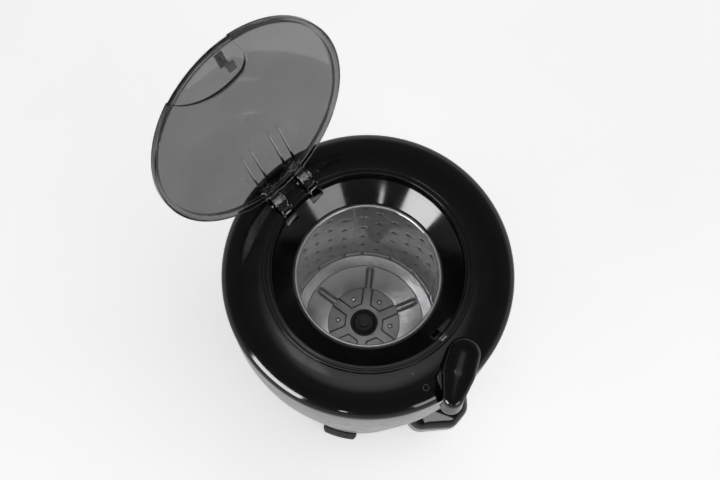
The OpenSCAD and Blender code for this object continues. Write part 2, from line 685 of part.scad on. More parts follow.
// ---------- tub, hose and spout ----------
module tub() {
    out_r = tub_r + tub_wall;
    collar_in = skirt_r + 1.5;
    hub_r = 38;
    color("whitesmoke") difference() {
        union() {
            rotate_extrude() polygon([
                [hub_r, tub_floor_z + 12], [hub_r, tub_floor_z], [tub_r - 8, tub_floor_z + 8],
                [out_r, tub_floor_z + 18], [out_r, tub_top_z], [collar_in + tub_wall, collar_z - 8],
                [collar_in + tub_wall, collar_z], [collar_in, collar_z], [collar_in, collar_z - 9],
                [tub_r, tub_top_z - 2], [tub_r, tub_floor_z + 19], [tub_r - 9, tub_floor_z + 8 + tub_wall],
                [hub_r + tub_wall, tub_floor_z + tub_wall], [hub_r + tub_wall, tub_floor_z + 12]]);
            outlet_side() translate([0, -outlet_y, tub_floor_z - 14]) cylinder(r = hose_bore_r - seam, h = 22);
            for (a = [30, 90, 150, 210, 330]) at(a, tub_r - 1, tub_floor_z + 30)
                translate([0, -1.5, 0]) cube([tub_wall + 6, 3, tub_top_z - tub_floor_z - 60]);
        }
        outlet_side() translate([0, -outlet_y, tub_floor_z - 20]) cylinder(r = hose_bore_r - 2.2, h = 60);
    }
}
outlet_y = tub_r - 21.5;

module tub_gasket() {
    color("#2a2a2c") ring(skirt_r + 1.5 - seam, skirt_r + seam, collar_z - 9, collar_z - 1);
}

// Hose from the tub's outlet, down and round to the spout's nipple
module drain_hose() {
    out_r = hose_bore_r + hose_wall;
    color("#333336") outlet_side() difference() {
        union() {
            hose_path(out_r, 0);
            for (k = [0:2]) translate([0, -outlet_y, tub_floor_z - 5 - 5 * k]) cylinder(r = out_r + 1, h = 2);
        }
        hose_path(hose_bore_r, 2);
    }
}
hose_bend = 24;
// Straight, quarter bend and straight, run on past both ends
module hose_path(r, past) {
    top_z = tub_floor_z - 1;
    elbow_z = spout_z + hose_bend;
    nipple_y = casing_r(spout_z) - casing_wall - 2;
    translate([0, -outlet_y, elbow_z]) cylinder(r = r, h = top_z + past - elbow_z);
    translate([0, -outlet_y - hose_bend, elbow_z]) rotate([-90, 0, 90]) rotate_extrude(angle = 90)
        translate([hose_bend, 0]) circle(r);
    translate([0, -outlet_y - hose_bend, spout_z]) rotate([90, 0, 0])
        cylinder(r = r, h = nipple_y + past - outlet_y - hose_bend);
}

// Turns the outlet, its hose and its spout aside from the front
module outlet_side() { rotate([0, 0, spout_turn]) children(); }

// Round hole along Y at the spout's nipple, through the casing and the spout's back plate
module spout_port(r) {
    translate([0, -casing_r(spout_z) + 20, spout_z]) rotate([90, 0, 0]) cylinder(r = r, h = 28);
}
spout_screw_r = 1.7;
module spout_screw_line(s) {
    translate([s * 22, -casing_r(spout_z), spout_z]) rotate([90, 0, 0]) children();
}
// Solid beak shape of the spout's hood, grown inwards by t
module hood_form(t) {
    corner = 22;
    nose_half = 0.23 * (spout_w / 2 - corner);
    nose_y = corner - casing_r(spout_z) - spout_out;
    side = spout_w / 2 - corner;
    root_y = -casing_r(spout_z) + 14;
    hull() {
        for (s = [-1, 1]) {
            translate([s * nose_half, nose_y, spout_z - 22]) sphere(r = corner - t, $fn = 32);
            translate([s * nose_half, nose_y, spout_z - 46]) cylinder(r = corner - t, h = 12, $fn = 32);
            translate([s * side, root_y - 12, spout_z - 8]) sphere(r = corner - t, $fn = 32);
            translate([s * side, root_y - 12, spout_z - 46]) cylinder(r = corner - t, h = 12, $fn = 32);
            translate([s * side * 0.8, root_y + 6, spout_z + 4]) sphere(r = corner - t, $fn = 32);
        }
    }
}
module spout() {
    hood_wall = 2.6;
    lip_z = spout_z - 42;
    nipple_in = -casing_r(spout_z) + 16;
    color("#0a0a0c") outlet_side() difference() {
        union() {
            difference() {
                hood_form(0);
                hood_form(hood_wall);
            }
            // back plate that follows the casing, with bosses for its screws
            intersection() {
                casing_shell(gap, 3);
                hood_form(0.5);
            }
            intersection() {
                hood_form(1);
                for (s = [-1, 1]) spout_screw_line(s) cylinder(r = 4, h = 10);
            }
        }
        translate([-100, -300, lip_z - 100]) cube([200, 300, 100]);
        casing_block(gap);
        for (s = [-1, 1]) spout_screw_line(s) translate([0, 0, -8]) cylinder(r = spout_screw_r + 0.02, h = 16);
        spout_port(hose_bore_r - 2.4);
    }
    color("#0a0a0c") outlet_side() difference() {
        translate([0, nipple_in, spout_z]) rotate([90, 0, 0]) cylinder(r = hose_bore_r - seam, h = 18);
        spout_port(hose_bore_r - 2.4);
    }
}
// Everything inside the casing's outer face, grown by a little, near the spout
module casing_block(grow) {
    low = spout_z - 70;
    high = spout_z + 50;
    rotate_extrude() polygon([[0, low], [casing_r(low) + grow, low], [casing_r(high) + grow, high], [0, high]]);
}
// A thin layer that follows the casing's outer face near the spout
module casing_shell(grow, t) {
    difference() {
        casing_block(grow + t);
        casing_block(grow);
    }
}
module spout_screws() {
    head_at = casing_r(spout_z) - norm([22, sqrt(pow(casing_r(spout_z), 2) - pow(26, 2))]) + casing_wall + 3.2;
    color("gray") outlet_side() for (s = [-1, 1]) spout_screw_line(s) {
        translate([0, 0, -head_at - 2]) cylinder(r = 3.4, h = 2);
        translate([0, 0, -head_at]) cylinder(r = spout_screw_r, h = head_at + 6);
    }
}

// ---------- drum ----------
module drum_shell() {
    out_r = drum_r + drum_wall;
    low = floor_z - 2;
    wall_top = drum_top_z - shoulder_h;
    bead_c = [drum_mouth_r + bead_r, drum_top_z];
    steps = 6;
    // shoulder turned in from the wall to the rolled mouth
    a = [drum_r, wall_top];
    b = [drum_r, drum_top_z - 9];
    c = [bead_c.x - 0.2, drum_top_z - 3];
    color("gainsboro") difference() {
        union() {
            rotate_extrude() polygon(concat(
                [[drum_r, low], [out_r, low]],
                [for (i = [0:steps]) let (t = i / steps)
                    curve(a, b, c, t) + drum_wall * [1 - 0.6 * t, 0.7 * t]],
                [[bead_c.x + 0.5, drum_top_z], [bead_c.x - 0.5, drum_top_z]],
                [for (i = [steps:-1:0]) curve(a, b, c, i / steps)]));
            translate([0, 0, drum_top_z]) rotate_extrude() translate([bead_c.x, 0]) circle(bead_r, $fn = 24);
        }
        for (k = [0:hole_columns - 1]) for (row = [0:holes_per_column - 1])
            at(weld_turn + weld_gap / 2 + k * column_step, drum_r, first_hole_z + (row + (k % 2) / 2) * hole_pitch)
                rotate([0, 90, 0]) cylinder(r = hole_r, h = 12, center = true, $fn = 24);
    }
    // bead of the weld, inside the wall
    color("gray") at(weld_turn, drum_r - 0.1, floor_z + 10) cylinder(r = 0.7, h = wall_top - floor_z - 14, $fn = 16);
}
shoulder_h = 24;                                        // height of the drum's turned-in shoulder
weld_gap = 14.6;                                        // bare strip at the weld, in degrees
column_step = (360 - weld_gap) / (hole_columns - 1);
first_hole_z = floor_z + 8;
hole_pitch = (drum_top_z - shoulder_h - first_hole_z) / holes_per_column;

// Stamped floor with six pressed ribs running out from the hub
module drum_floor() {
    rim = drum_r - seam;
    rim_h = 4.4;
    t = drum_wall;
    rib_cut = 3.5;
    rib_r = sqrt(pow(rib_half_w, 2) + pow(rib_cut, 2));
    color("gainsboro") difference() {
        union() {
            rotate_extrude() polygon([
                [shaft_r + fit, floor_z - t], [rib_reach + 1, floor_z - t], [rib_reach + 4, floor_z - t - 2],
                [rim - 6, floor_z - t - 2], [rim - 2, floor_z - t], [rim, floor_z + 1], [rim, floor_z + rim_h],
                [rim - t, floor_z + rim_h], [rim - t, floor_z + 2], [rim - 3.4, floor_z], [rim - 6.5, floor_z - 2],
                [rib_reach + 4.4, floor_z - 2], [rib_reach + 1.4, floor_z], [shaft_r + fit, floor_z]]);
            for (k = [0:5]) at(rib_turn + 60 * k, 0, floor_z - rib_cut) difference() {
                union() {
                    translate([hub_plate_r + 1, 0, 0]) rotate([0, 90, 0])
                        cylinder(r = rib_r, h = rib_reach - rib_r - hub_plate_r - 1);
                    translate([rib_reach - rib_r, 0, 0]) sphere(r = rib_r);
                }
                translate([0, -20, -30 + rib_cut - t]) cube([120, 40, 30]);
                // hollow underneath, as pressed sheet
                translate([hub_plate_r + 2, 0, -t]) rotate([0, 90, 0])
                    cylinder(r = rib_r - t, h = rib_reach - rib_r - hub_plate_r - 1);
            }
        }
    }
}
rib_turn = 33.5;

// Riveted plate, pressed up into a star whose arms meet the floor's ribs
module hub_plate() {
    color("silver") difference() {
        ring(hub_plate_r, shaft_r + fit, floor_z + 0.02, floor_z + star_h);
        for (k = [0:5]) at(rib_turn + 30 + 60 * k, 0, floor_z + plate_t) linear_extrude(20) star_pocket();
        for (k = [0:5]) at(rib_turn + 30 + 60 * k, rivet_r, floor_z - 1) cylinder(r = rivet_hole_r + 0.05, h = 20);
    }
}
plate_t = 1.4;
star_h = 3;
rivet_r = 40;
rivet_hole_r = 2.6;
// Pocket between two arms of the star, open at the plate's rim
module star_pocket() {
    side = star_half_w / cos(30);
    inner = hub_cap_r + 6.5;
    corner = inner + 3;
    outer = hub_plate_r + 2;
    polygon([[inner, -3], [inner, 3], [corner, corner * tan(30) - side], [outer, outer * tan(30) - side],
        [outer, side - outer * tan(30)], [corner, side - corner * tan(30)]]);
}
module hub_rivets() {
    color("silver") for (k = [0:5]) at(rib_turn + 30 + 60 * k, rivet_r, floor_z) {
        translate([0, 0, 0.02]) cylinder(r = rivet_hole_r, h = plate_t + 0.02);
        intersection() {
            translate([0, 0, plate_t - 2.6]) sphere(r = 5);
            translate([-6, -6, plate_t + 0.02]) cube([12, 12, 6]);
        }
    }
}
// Moulded cap over the shaft's end: a low flange that steps up to a round boss
module hub_cap() {
    color("#101012") rotate_extrude() polygon([[shaft_r + fit, cap_z], [hub_cap_r, cap_z], [hub_cap_r, cap_z + 0.8],
        [hub_cap_r - 0.6, cap_z + 1.4], [hub_cap_r - 3.3, cap_z + 1.4], [hub_cap_r - 4.3, cap_z + 4.2],
        [hub_cap_r - 5.3, cap_z + 4.2], [hub_cap_r - 6.2, cap_z + 2], [shaft_r + fit, cap_z + 2]]);
}
cap_z = floor_z + star_h + 0.02;
module hub_nut() {
    color("#1a1a1c") difference() {
        union() {
            translate([0, 0, cap_z + 2.02]) cylinder(r = 11.5, h = 1.2);
            translate([0, 0, cap_z + 3.2]) cylinder(r = nut_r, h = 5.8, $fn = 6);
        }
        translate([0, 0, cap_z]) cylinder(r = shaft_r + 0.02, h = 6);
    }
}
nut_r = 8.7;

// ---------- shaft, brake and motor ----------
module drum_shaft() {
    low = shaft_z;
    color("silver") {
        translate([0, 0, low]) cylinder(r = shaft_r, h = cap_z + 5.8 - low);
        translate([0, 0, floor_z - drum_wall - 9]) difference() {
            cylinder(r = 16, h = 8.9);
            translate([0, 0, -1]) cylinder(r = shaft_r - 0.5, h = 4);
        }
    }
}
coil_h = 20;                                          // windings beyond each end of the stator
stator_z = carrier_z - 19 - coil_h - stator_h;
cap_lo_z = stator_z - coil_h - 1;
cap_hi_z = stator_z + stator_h + coil_h + 1;
shaft_z = cap_lo_z - bearing_h - 4;

module brake_drum() {
    color("dimgray") difference() {
        union() {
            translate([0, 0, brake_z]) cylinder(r = brake_r, h = 14);
            translate([0, 0, brake_z + 14]) cylinder(r = 13, h = 4);
        }
        translate([0, 0, brake_z - 1]) ring(brake_r - 3, 13, 0, 12);
        translate([0, 0, brake_z - 1]) cylinder(r = shaft_r + 0.02, h = 40);
    }
}
brake_z = carrier_z + 12;

// Seal on the shaft, held in the tub's floor by a rubber bellows
module shaft_seal() {
    color("#1e1e20") rotate_extrude() polygon([
        [shaft_r + gap, tub_floor_z + 3], [shaft_r + gap + 5, tub_floor_z + 3], [19, tub_floor_z + 9], [25, tub_floor_z + 1],
        [31, tub_floor_z + 9], [38 - seam, tub_floor_z + 6], [38 - seam, tub_floor_z + 12], [40.5, tub_floor_z + 12.1],
        [40.5, tub_floor_z + 14], [35, tub_floor_z + 14], [31, tub_floor_z + 11.5], [25, tub_floor_z + 4],
        [19, tub_floor_z + 12], [shaft_r + gap + 5, tub_floor_z + 10], [shaft_r + gap, tub_floor_z + 10]]);
}

module brake_turned() { rotate([0, 0, 55]) children(); }
brake_pivot_at = [-brake_r - 14, -brake_r];
brake_arm_end = [-brake_r - 18, brake_r + 8];
module brake_arm() {
    color("gray") brake_turned() difference() {
        union() {
            translate([brake_pivot_at.x, brake_pivot_at.y, brake_z]) cylinder(r = 8, h = 10);
            translate([0, 0, brake_z + 3]) linear_extrude(4) polygon([
                brake_pivot_at + [-7, 0], brake_pivot_at + [7, 0], [-brake_r - 9.2, -10], [-brake_r - 9.2, 12],
                brake_arm_end + [6, 0], brake_arm_end + [-6, 0], [-brake_r - 19, 0]]);
            translate([brake_arm_end.x, brake_arm_end.y, brake_z + 3]) cylinder(r = 6, h = 4);
        }
        translate([brake_pivot_at.x, brake_pivot_at.y, 0]) cylinder(r = 4 + fit, h = seat_z);
        translate([brake_arm_end.x, brake_arm_end.y, 0]) cylinder(r = 2, h = seat_z);
    }
}
module brake_lining() {
    color("saddlebrown") brake_turned() intersection() {
        ring(brake_r + 9, brake_r + gap, brake_z + 1, brake_z + 12);
        translate([-brake_r - 9.1, -11, 0]) cube([14, 24, seat_z]);
    }
}
module brake_pivot() {
    color("silver") brake_turned() translate([brake_pivot_at.x, brake_pivot_at.y, carrier_z + 3]) {
        cylinder(r = 4, h = 20);
        translate([0, 0, brake_z - carrier_z + 7.4]) cylinder(r = 6.5, h = 1.6);
        cylinder(r = 7, h = brake_z - carrier_z - 3.4);
    }
}

// Sheathed cable from the lever's crank down beside the tub to the brake arm
cable_r = 2.6;
cable_from = [lever_x - 36, lever_y + 10, seat_z - 31];
cable_down = [lever_x - 82, lever_y + 68, carrier_z + 56];
cable_route = [cable_from, cable_from + [-10, 5, -1], cable_from + [-24, 18, -6], cable_from + [-38, 36, -19],
    [cable_down.x + 1, cable_down.y - 8, seat_z - 70], cable_down, cable_down + [1, 1, -26],
    cable_down + [8, 10, -37.5], [-78, -39, carrier_z + 18]];
module cable_run(route, r) {
    for (i = [0:len(route) - 2]) hull() {
        translate(route[i]) sphere(r = r, $fn = 16);
        translate(route[i + 1]) sphere(r = r, $fn = 16);
    }
}
module brake_cable() {
    color("#222224") cable_run(cable_route, cable_r);
}
module cable_clamp() {
    a = cable_route[0];
    d = cable_route[1] - a;
    corner = a - [8.5, 3, 5];
    color("gray") difference() {
        translate(corner) cube([7, 10, deck_under(norm([corner.x, corner.y])) - gap - corner.z]);
        translate(a - d) rotate([0, acos(d.z / norm(d)), atan2(d.y, d.x)])
            cylinder(r = cable_r + seam, h = 3 * norm(d));
    }
}

module rotor() {
    color("darkgray") difference() {
        union() {
            translate([0, 0, stator_z - 2]) cylinder(r = rotor_r, h = stator_h + 4);
            for (z = [stator_z - 6, stator_z + stator_h + 2]) ring(rotor_r - 2, rotor_r - 9, z, z + 4);
            for (k = [0:11]) for (z = [stator_z - 11, stator_z + stator_h + 6])
                at(30 * k, rotor_r - 9, z) translate([0, -0.8, 0]) cube([6, 1.6, 5]);
        }
        cylinder(r = shaft_r + 0.02, h = seat_z);
    }
}
module stator_core() {
    color("slategray") difference() {
        translate([0, 0, stator_z]) cylinder(r = stator_r, h = stator_h);
        cylinder(r = rotor_r + 0.4, h = seat_z);
        for (k = [0:23]) at(15 * k, rotor_r, stator_z - 1) translate([0, -1.2, 0]) cube([12, 2.4, stator_h + 2]);
    }
}
module windings() {
    bundle = 7.6;
    color("peru") for (z = [stator_z - bundle - 0.05, stator_z + stator_h + bundle + 0.05]) translate([0, 0, z])
        rotate_extrude() translate([(rotor_r + stator_r) / 2 + 1, 0]) circle(bundle, $fn = 40);
}
module motor_can() {
    color("dimgray") difference() {
        ring(stator_r + 3, stator_r + seam, cap_lo_z + 4, cap_hi_z - 4);
        for (k = [0:7]) at(45 * k, stator_r, cap_hi_z - 14) rotate([0, 90, 0]) cylinder(r = 4, h = 20, center = true);
    }
}

module end_cap(z, up) {
    translate([0, 0, z]) mirror([0, 0, up ? 0 : 1]) difference() {
        union() {
            translate([0, 0, -4]) cylinder(r = stator_r + 5, h = 5);
            cylinder(r = bearing_r + 5, h = bearing_h + 3);
            for (k = [0:3]) at(45 + 90 * k, stator_r + 6, -4) cylinder(r = 7, h = 5);
            for (k = [0:5]) at(60 * k, bearing_r + 3) translate([0, -1.5, 0]) cube([stator_r - bearing_r - 4, 3, 6]);
        }
        translate([0, 0, -10]) cylinder(r = bearing_r + 0.02, h = bearing_h + 11);
        translate([0, 0, -10]) cylinder(r = shaft_r + 3, h = 60);
        for (k = [0:3]) at(45 + 90 * k, stator_r + 6, -10) cylinder(r = 2.6, h = 30);
    }
}
module end_cap_upper() { color("lightslategray") end_cap(cap_hi_z, true); }
module end_cap_lower() { color("lightslategray") end_cap(cap_lo_z, false); }

bearing_at = [cap_hi_z + 1, cap_lo_z - 1 - bearing_h];
race_in = shaft_r + 3;
race_out = bearing_r - 3.2;
module bearing_outer_races() { color("silver") for (z = bearing_at) ring(bearing_r, race_out, z, z + bearing_h); }
module bearing_inner_races() { color("silver") for (z = bearing_at) ring(race_in, shaft_r + 0.02, z, z + bearing_h); }
module bearing_balls() {
    ball = (race_out - race_in) / 2 - fit;
    color("white") for (z = bearing_at) for (k = [0:7])
        at(45 * k, (race_out + race_in) / 2, z + bearing_h / 2) sphere(r = ball, $fn = 32);
}
module motor_bolts() {
    color("gray") for (k = [0:3]) at(45 + 90 * k, stator_r + 6) {
        translate([0, 0, cap_lo_z - 5]) cylinder(r = 4.6, h = 4, $fn = 6);
        translate([0, 0, cap_lo_z - 2]) cylinder(r = 2.5, h = carrier_z + 3 + 5 - cap_lo_z + 2);
        translate([0, 0, carrier_z + 3]) cylinder(r = 4.6, h = 4, $fn = 6);
    }
}
// Three-armed steel plate that carries the motor on the buffers
module motor_carrier() {
    color("darkgray") difference() {
        union() {
            translate([0, 0, carrier_z]) cylinder(r = stator_r + 16, h = 3);
            for (a = foot_turns) at(a, 0, carrier_z) {
                translate([0, -18, 0]) cube([buffer_r, 36, 3]);
                translate([buffer_r, 0, 0]) cylinder(r = 18, h = 3);
                for (s = [-1, 1]) translate([stator_r + 10, s * 16.5 - 1.5, 2]) cube([buffer_r - stator_r - 10, 3, 7]);
            }
            for (k = [0:3]) at(45 + 90 * k, stator_r + 6, cap_hi_z + 1) ring(6, 2.7, 0, carrier_z - cap_hi_z - 1);
        }
        translate([0, 0, carrier_z - 1]) cylinder(r = bearing_r + 6, h = 20);
        for (k = [0:3]) at(45 + 90 * k, stator_r + 6) cylinder(r = 2.6, h = seat_z);
        for (a = foot_turns) at(a, buffer_r) cylinder(r = 4.2, h = seat_z);
        brake_turned() translate([brake_pivot_at.x, brake_pivot_at.y, 0]) cylinder(r = 3, h = seat_z);
    }
}
module rubber_buffers() {
    h = carrier_z - tower_top;
    color("#1a1a1a") for (a = foot_turns) at(a, buffer_r) difference() {
        translate([0, 0, tower_top]) rotate_extrude() polygon([[0, 0.02], [14, 0.02], [14, h / 6], [11.5, h / 3],
            [11.5, h * 2 / 3], [14, h * 5 / 6], [14, h - 0.02], [0, h - 0.02]]);
        cylinder(r = 4.1, h = seat_z);
    }
}
module buffer_bolts() {
    color("gray") for (a = foot_turns) at(a, buffer_r) {
        translate([0, 0, tower_top - 6]) cylinder(r = 4, h = carrier_z - tower_top + 20);
        translate([0, 0, carrier_z + 3.02]) cylinder(r = 7.4, h = 6.5, $fn = 6);
    }
}

module capacitor() {
    color("whitesmoke") at(capacitor_turn, box_at, pan_z + pan_t + seam) {
        cylinder(r = capacitor_r, h = capacitor_h);
        for (s = [-1, 1]) translate([s * 6 - 3, -0.4, capacitor_h - 6]) cube([6, 0.8, 14]);
    }
}
capacitor_turn = 30;
capacitor_r = 18;
capacitor_h = 66;
box_at = 92;            // both sit this far from the axis
module capacitor_clip() {
    color("gray") at(capacitor_turn, box_at, pan_z + pan_t + seam) {
        ring(capacitor_r + 1.6, capacitor_r + 0.1, 18, 32);
        translate([-36, -7, 0]) difference() { cube([17, 14, 32]); translate([2, -1, 2]) cube([13.4, 16, 28.4]); }
    }
}
module terminal_box() {
    color("#2a2a2c") at(box_turn, box_at, pan_z + pan_t + seam) difference() {
        translate([-18, -27, 0]) cube([36, 54, 34]);
        translate([-16, -25, 2]) cube([32, 50, 29.5]);
        translate([0, -20, 16]) rotate([90, 0, 0]) cylinder(r = 4, h = 20);
    }
    color("#2a2a2c") at(box_turn, box_foot_r, pan_z + pan_t + box_foot_h + 0.05) difference() {
        translate([-6, -6, 0]) cube([box_at - box_foot_r - 11, 12, 2.4]);
        translate([0, 0, -1]) cylinder(r = 1.6, h = 5);
    }
}
box_turn = 150;
box_foot_r = 62;
box_foot_h = 10;

// Flanged bush in the rear of the casing where the supply lead would enter
module cord_gland() {
    r = casing_r(gland_z);
    color("#101012") at(gland_turn, 0, gland_z) rotate([0, 90, 0]) difference() {
        union() {
            translate([0, 0, r - casing_wall - 6]) cylinder(r = gland_r - seam, h = 12);
            translate([0, 0, r + 1.3]) cylinder(r1 = gland_r + 4, r2 = gland_r + 1, h = 5);
            translate([0, 0, r - casing_wall - 6]) cylinder(r = gland_r + 2.6, h = 3);
        }
        translate([0, 0, r - 30]) cylinder(r = 3.8, h = 60);
    }
}

casing();
deck();
funnel();
lever_plinth();
tub();
tub_gasket();
drain_hose();
spout();
spout_screws();
base_pan();
base_screws();
foot_left();
foot_right();
foot_rear();
foot_screws();
deck_screws();
lid();
latch_hook();
hinge_pins();
catch_spring();
lock_lever();
lever_spindle();
lever_bush();
retaining_rings();
start_switch();
brake_cable();
cable_clamp();
brake_arm();
brake_lining();
brake_pivot();
drum_shell();
drum_floor();
hub_plate();
hub_rivets();
hub_cap();
hub_nut();
drum_shaft();
brake_drum();
shaft_seal();
rotor();
bearing_inner_races();
bearing_balls();
bearing_outer_races();
stator_core();
windings();
motor_can();
end_cap_upper();
end_cap_lower();
motor_bolts();
motor_carrier();
rubber_buffers();
buffer_bolts();
capacitor();
capacitor_clip();
terminal_box();
cord_gland();
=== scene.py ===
"""Laundry spin dryer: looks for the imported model. Sizes below are in millimetres."""
import math

import bmesh
import bpy
import numpy as np
from mathutils import Matrix, Vector
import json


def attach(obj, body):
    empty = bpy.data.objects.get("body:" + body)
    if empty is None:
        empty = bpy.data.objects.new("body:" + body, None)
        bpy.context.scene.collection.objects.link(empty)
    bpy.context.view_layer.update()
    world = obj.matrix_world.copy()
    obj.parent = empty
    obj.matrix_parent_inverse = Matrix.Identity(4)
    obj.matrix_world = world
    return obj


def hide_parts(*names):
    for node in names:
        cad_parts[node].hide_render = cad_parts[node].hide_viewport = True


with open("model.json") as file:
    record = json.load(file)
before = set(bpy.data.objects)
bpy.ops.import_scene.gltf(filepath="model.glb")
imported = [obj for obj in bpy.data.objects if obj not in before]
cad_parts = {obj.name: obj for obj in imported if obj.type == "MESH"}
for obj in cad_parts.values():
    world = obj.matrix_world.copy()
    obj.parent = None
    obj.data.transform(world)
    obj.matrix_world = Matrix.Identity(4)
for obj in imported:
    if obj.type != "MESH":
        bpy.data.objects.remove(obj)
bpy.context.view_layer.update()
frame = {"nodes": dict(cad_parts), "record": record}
nodes = frame["nodes"]
scene = bpy.context.scene
MM = 0.001
SEAT = 600.0  # height of the lid's seat
RING = 320  # facets round the large turned pieces
PIVOT = (-28, -152)  # the lock lever's spindle

# ---------------------------------------------------------------- camera
TURN = math.radians(-49.5)
PITCH, YAW, ROLL = 1.2911, -0.039, 0.0448
spin = Matrix.Rotation(TURN, 3, "Z")
forward = Vector((math.sin(YAW) * math.cos(PITCH), math.cos(YAW) * math.cos(PITCH), -math.sin(PITCH)))
right = Vector((math.cos(YAW), -math.sin(YAW), 0))
up = right.cross(forward)
right, up = (right * math.cos(ROLL) + up * math.sin(ROLL), up * math.cos(ROLL) - right * math.sin(ROLL))
EYE = spin @ Vector((0, -0.2897022, 1.1182385)) + Vector((0, 0, SEAT * MM))
camera = bpy.data.objects.new("camera", bpy.data.cameras.new("camera"))
camera.data.lens = 50
camera.data.sensor_width = 36
camera.data.clip_start = 0.05
axes = Matrix([spin @ right, spin @ up, -(spin @ forward)]).transposed()
camera.matrix_world = Matrix.Translation(EYE) @ axes.to_4x4()
scene.collection.objects.link(camera)
scene.camera = camera


# ---------------------------------------------------------------- materials
class Nodes:
    """Short names for building a material's node tree."""

    def __init__(self, name, coordinates=None):
        self.material = bpy.data.materials.new(name)
        self.material.use_nodes = True
        self.tree = self.material.node_tree
        self.shader = self.tree.nodes["Principled BSDF"]
        where = self.tree.nodes.new("ShaderNodeTexCoord").outputs["Object"]
        self.where = coordinates(self, where) if coordinates else where

    def add(self, kind, **values):
        node = self.tree.nodes.new("ShaderNode" + kind)
        for key, value in values.items():
            setattr(node, key, value)
        return node

    def link(self, output, target):
        self.tree.links.new(output, target)

    def set(self, **values):
        for key, value in values.items():
            self.shader.inputs[key.replace("_", " ")].default_value = value

    def stretched(self, x, y, z):
        mapping = self.add("Mapping")
        self.link(self.where, mapping.inputs["Vector"])
        mapping.inputs["Scale"].default_value = (x, y, z)
        return mapping.outputs["Vector"]

    def noise(self, scale, detail=4, roughness=0.5, where=None, distortion=0):
        node = self.add("TexNoise")
        self.link(where or self.where, node.inputs["Vector"])
        node.inputs["Scale"].default_value = scale
        node.inputs["Detail"].default_value = detail
        node.inputs["Roughness"].default_value = roughness
        node.inputs["Distortion"].default_value = distortion
        return node.outputs["Fac"]

    def spread(self, value, low, high, start=0.3, end=0.7):
        node = self.add("MapRange")
        self.link(value, node.inputs["Value"])
        for key, number in (("From Min", start), ("From Max", end), ("To Min", low), ("To Max", high)):
            node.inputs[key].default_value = number
        return node.outputs["Result"]

    def math(self, operation, a, b=None):
        node = self.add("Math", operation=operation)
        for socket, value in zip(node.inputs, (a, b)):
            if isinstance(value, (int, float)):
                socket.default_value = value
            elif value is not None:
                self.link(value, socket)
        return node.outputs[0]

    def shades(self, value, dark, light, start=0.3, end=0.7):
        node = self.add("ValToRGB")
        self.link(value, node.inputs["Fac"])
        for stop, place, colour in zip(node.color_ramp.elements, (start, end), (dark, light)):
            stop.position = place
            stop.color = (*colour, 1)
        self.link(node.outputs["Color"], self.shader.inputs["Base Color"])
        return node

    def rough(self, value, low, high, start=0.3, end=0.7):
        self.link(self.spread(value, low, high, start, end), self.shader.inputs["Roughness"])

    def bump(self, *layers):
        """Stack bumps, each given as height, distance in mm and strength."""
        normal = None
        for height, distance, strength in layers:
            node = self.add("Bump")
            node.inputs["Distance"].default_value = distance * MM
            node.inputs["Strength"].default_value = strength
            self.link(height, node.inputs["Height"])
            if normal:
                self.link(normal, node.inputs["Normal"])
            normal = node.outputs["Normal"]
        self.link(normal, self.shader.inputs["Normal"])


def around_axis(n, where):
    """Coordinates that run round the drum: arc, radius and height."""
    split = n.add("SeparateXYZ")
    n.link(where, split.inputs[0])
    x, y, z = split.outputs
    angle = n.math("ARCTAN2", y, x)
    radius = n.math("POWER", n.math("ADD", n.math("MULTIPLY", x, x), n.math("MULTIPLY", y, y)), 0.5)
    join = n.add("CombineXYZ")
    n.link(n.math("MULTIPLY", angle, 0.105), join.inputs[0])
    n.link(radius, join.inputs[1])
    n.link(z, join.inputs[2])
    return join.outputs[0]


def gloss_black(name, low=0.07, high=0.14, tone=1.0):
    n = Nodes(name)
    n.shades(n.noise(30), (0.0025 * tone,) * 3, (0.004 * tone,) * 3)
    n.rough(n.noise(55, 5), low, high)
    n.bump((n.noise(420, 2), 0.02, 0.25), (n.noise(26, 2), 0.12, 0.2))
    n.set(IOR=1.5)
    return n.material


def moulded(name, dark, light, low=0.42, high=0.6, grain=900, depth=0.05):
    n = Nodes(name)
    n.shades(n.noise(35), dark, light)
    n.rough(n.noise(80, 5), low, high)
    n.bump((n.noise(grain, 3, 0.6), depth, 0.6), (n.noise(60, 2), 0.1, 0.15))
    return n.material


def silver_paint(name):
    n = Nodes(name)
    flakes = n.add("TexVoronoi")
    n.link(n.where, flakes.inputs["Vector"])
    flakes.inputs["Scale"].default_value = 2600
    n.shades(flakes.outputs["Distance"], (0.115, 0.115, 0.117), (0.165, 0.165, 0.168), 0.15, 0.6)
    n.rough(n.noise(40, 5), 0.22, 0.3)
    n.bump((flakes.outputs["Distance"], 0.012, 0.35), (n.noise(380, 2), 0.02, 0.3), (n.noise(22, 2), 0.15, 0.2))
    n.set(Metallic=0.75, Coat_Weight=0.3, Coat_Roughness=0.1)
    return n.material


def stainless(name, rolled=True, depth=1.3):
    n = Nodes(name, around_axis if rolled else None)
    streaks = n.noise(60, 4, 0.6, n.stretched(0.35, 1, 6) if rolled else n.stretched(1, 1, 1))
    blotches = n.noise(17, 3, 0.55, n.stretched(1, 1, 0.8), 0.6)
    n.shades(n.noise(24, 4), (0.64, 0.64, 0.65), (0.80, 0.80, 0.81))
    n.rough(n.noise(70, 5, 0.6, n.stretched(0.4, 1, 4)), 0.13, 0.24)
    n.bump((blotches, depth, 0.5), (streaks, 0.05, 0.3))
    n.set(Metallic=0.8, Anisotropic=0.3)
    return n.material


def metal(name, dark, light, low=0.25, high=0.42, scale=60, depth=0.04):
    n = Nodes(name)
    n.shades(n.noise(scale, 5, 0.6), dark, light)
    n.rough(n.noise(scale * 1.7, 5), low, high)
    n.bump((n.noise(700, 3, 0.6), depth, 0.4), (n.noise(50, 3), 0.1, 0.2))
    n.set(Metallic=1.0)
    return n.material


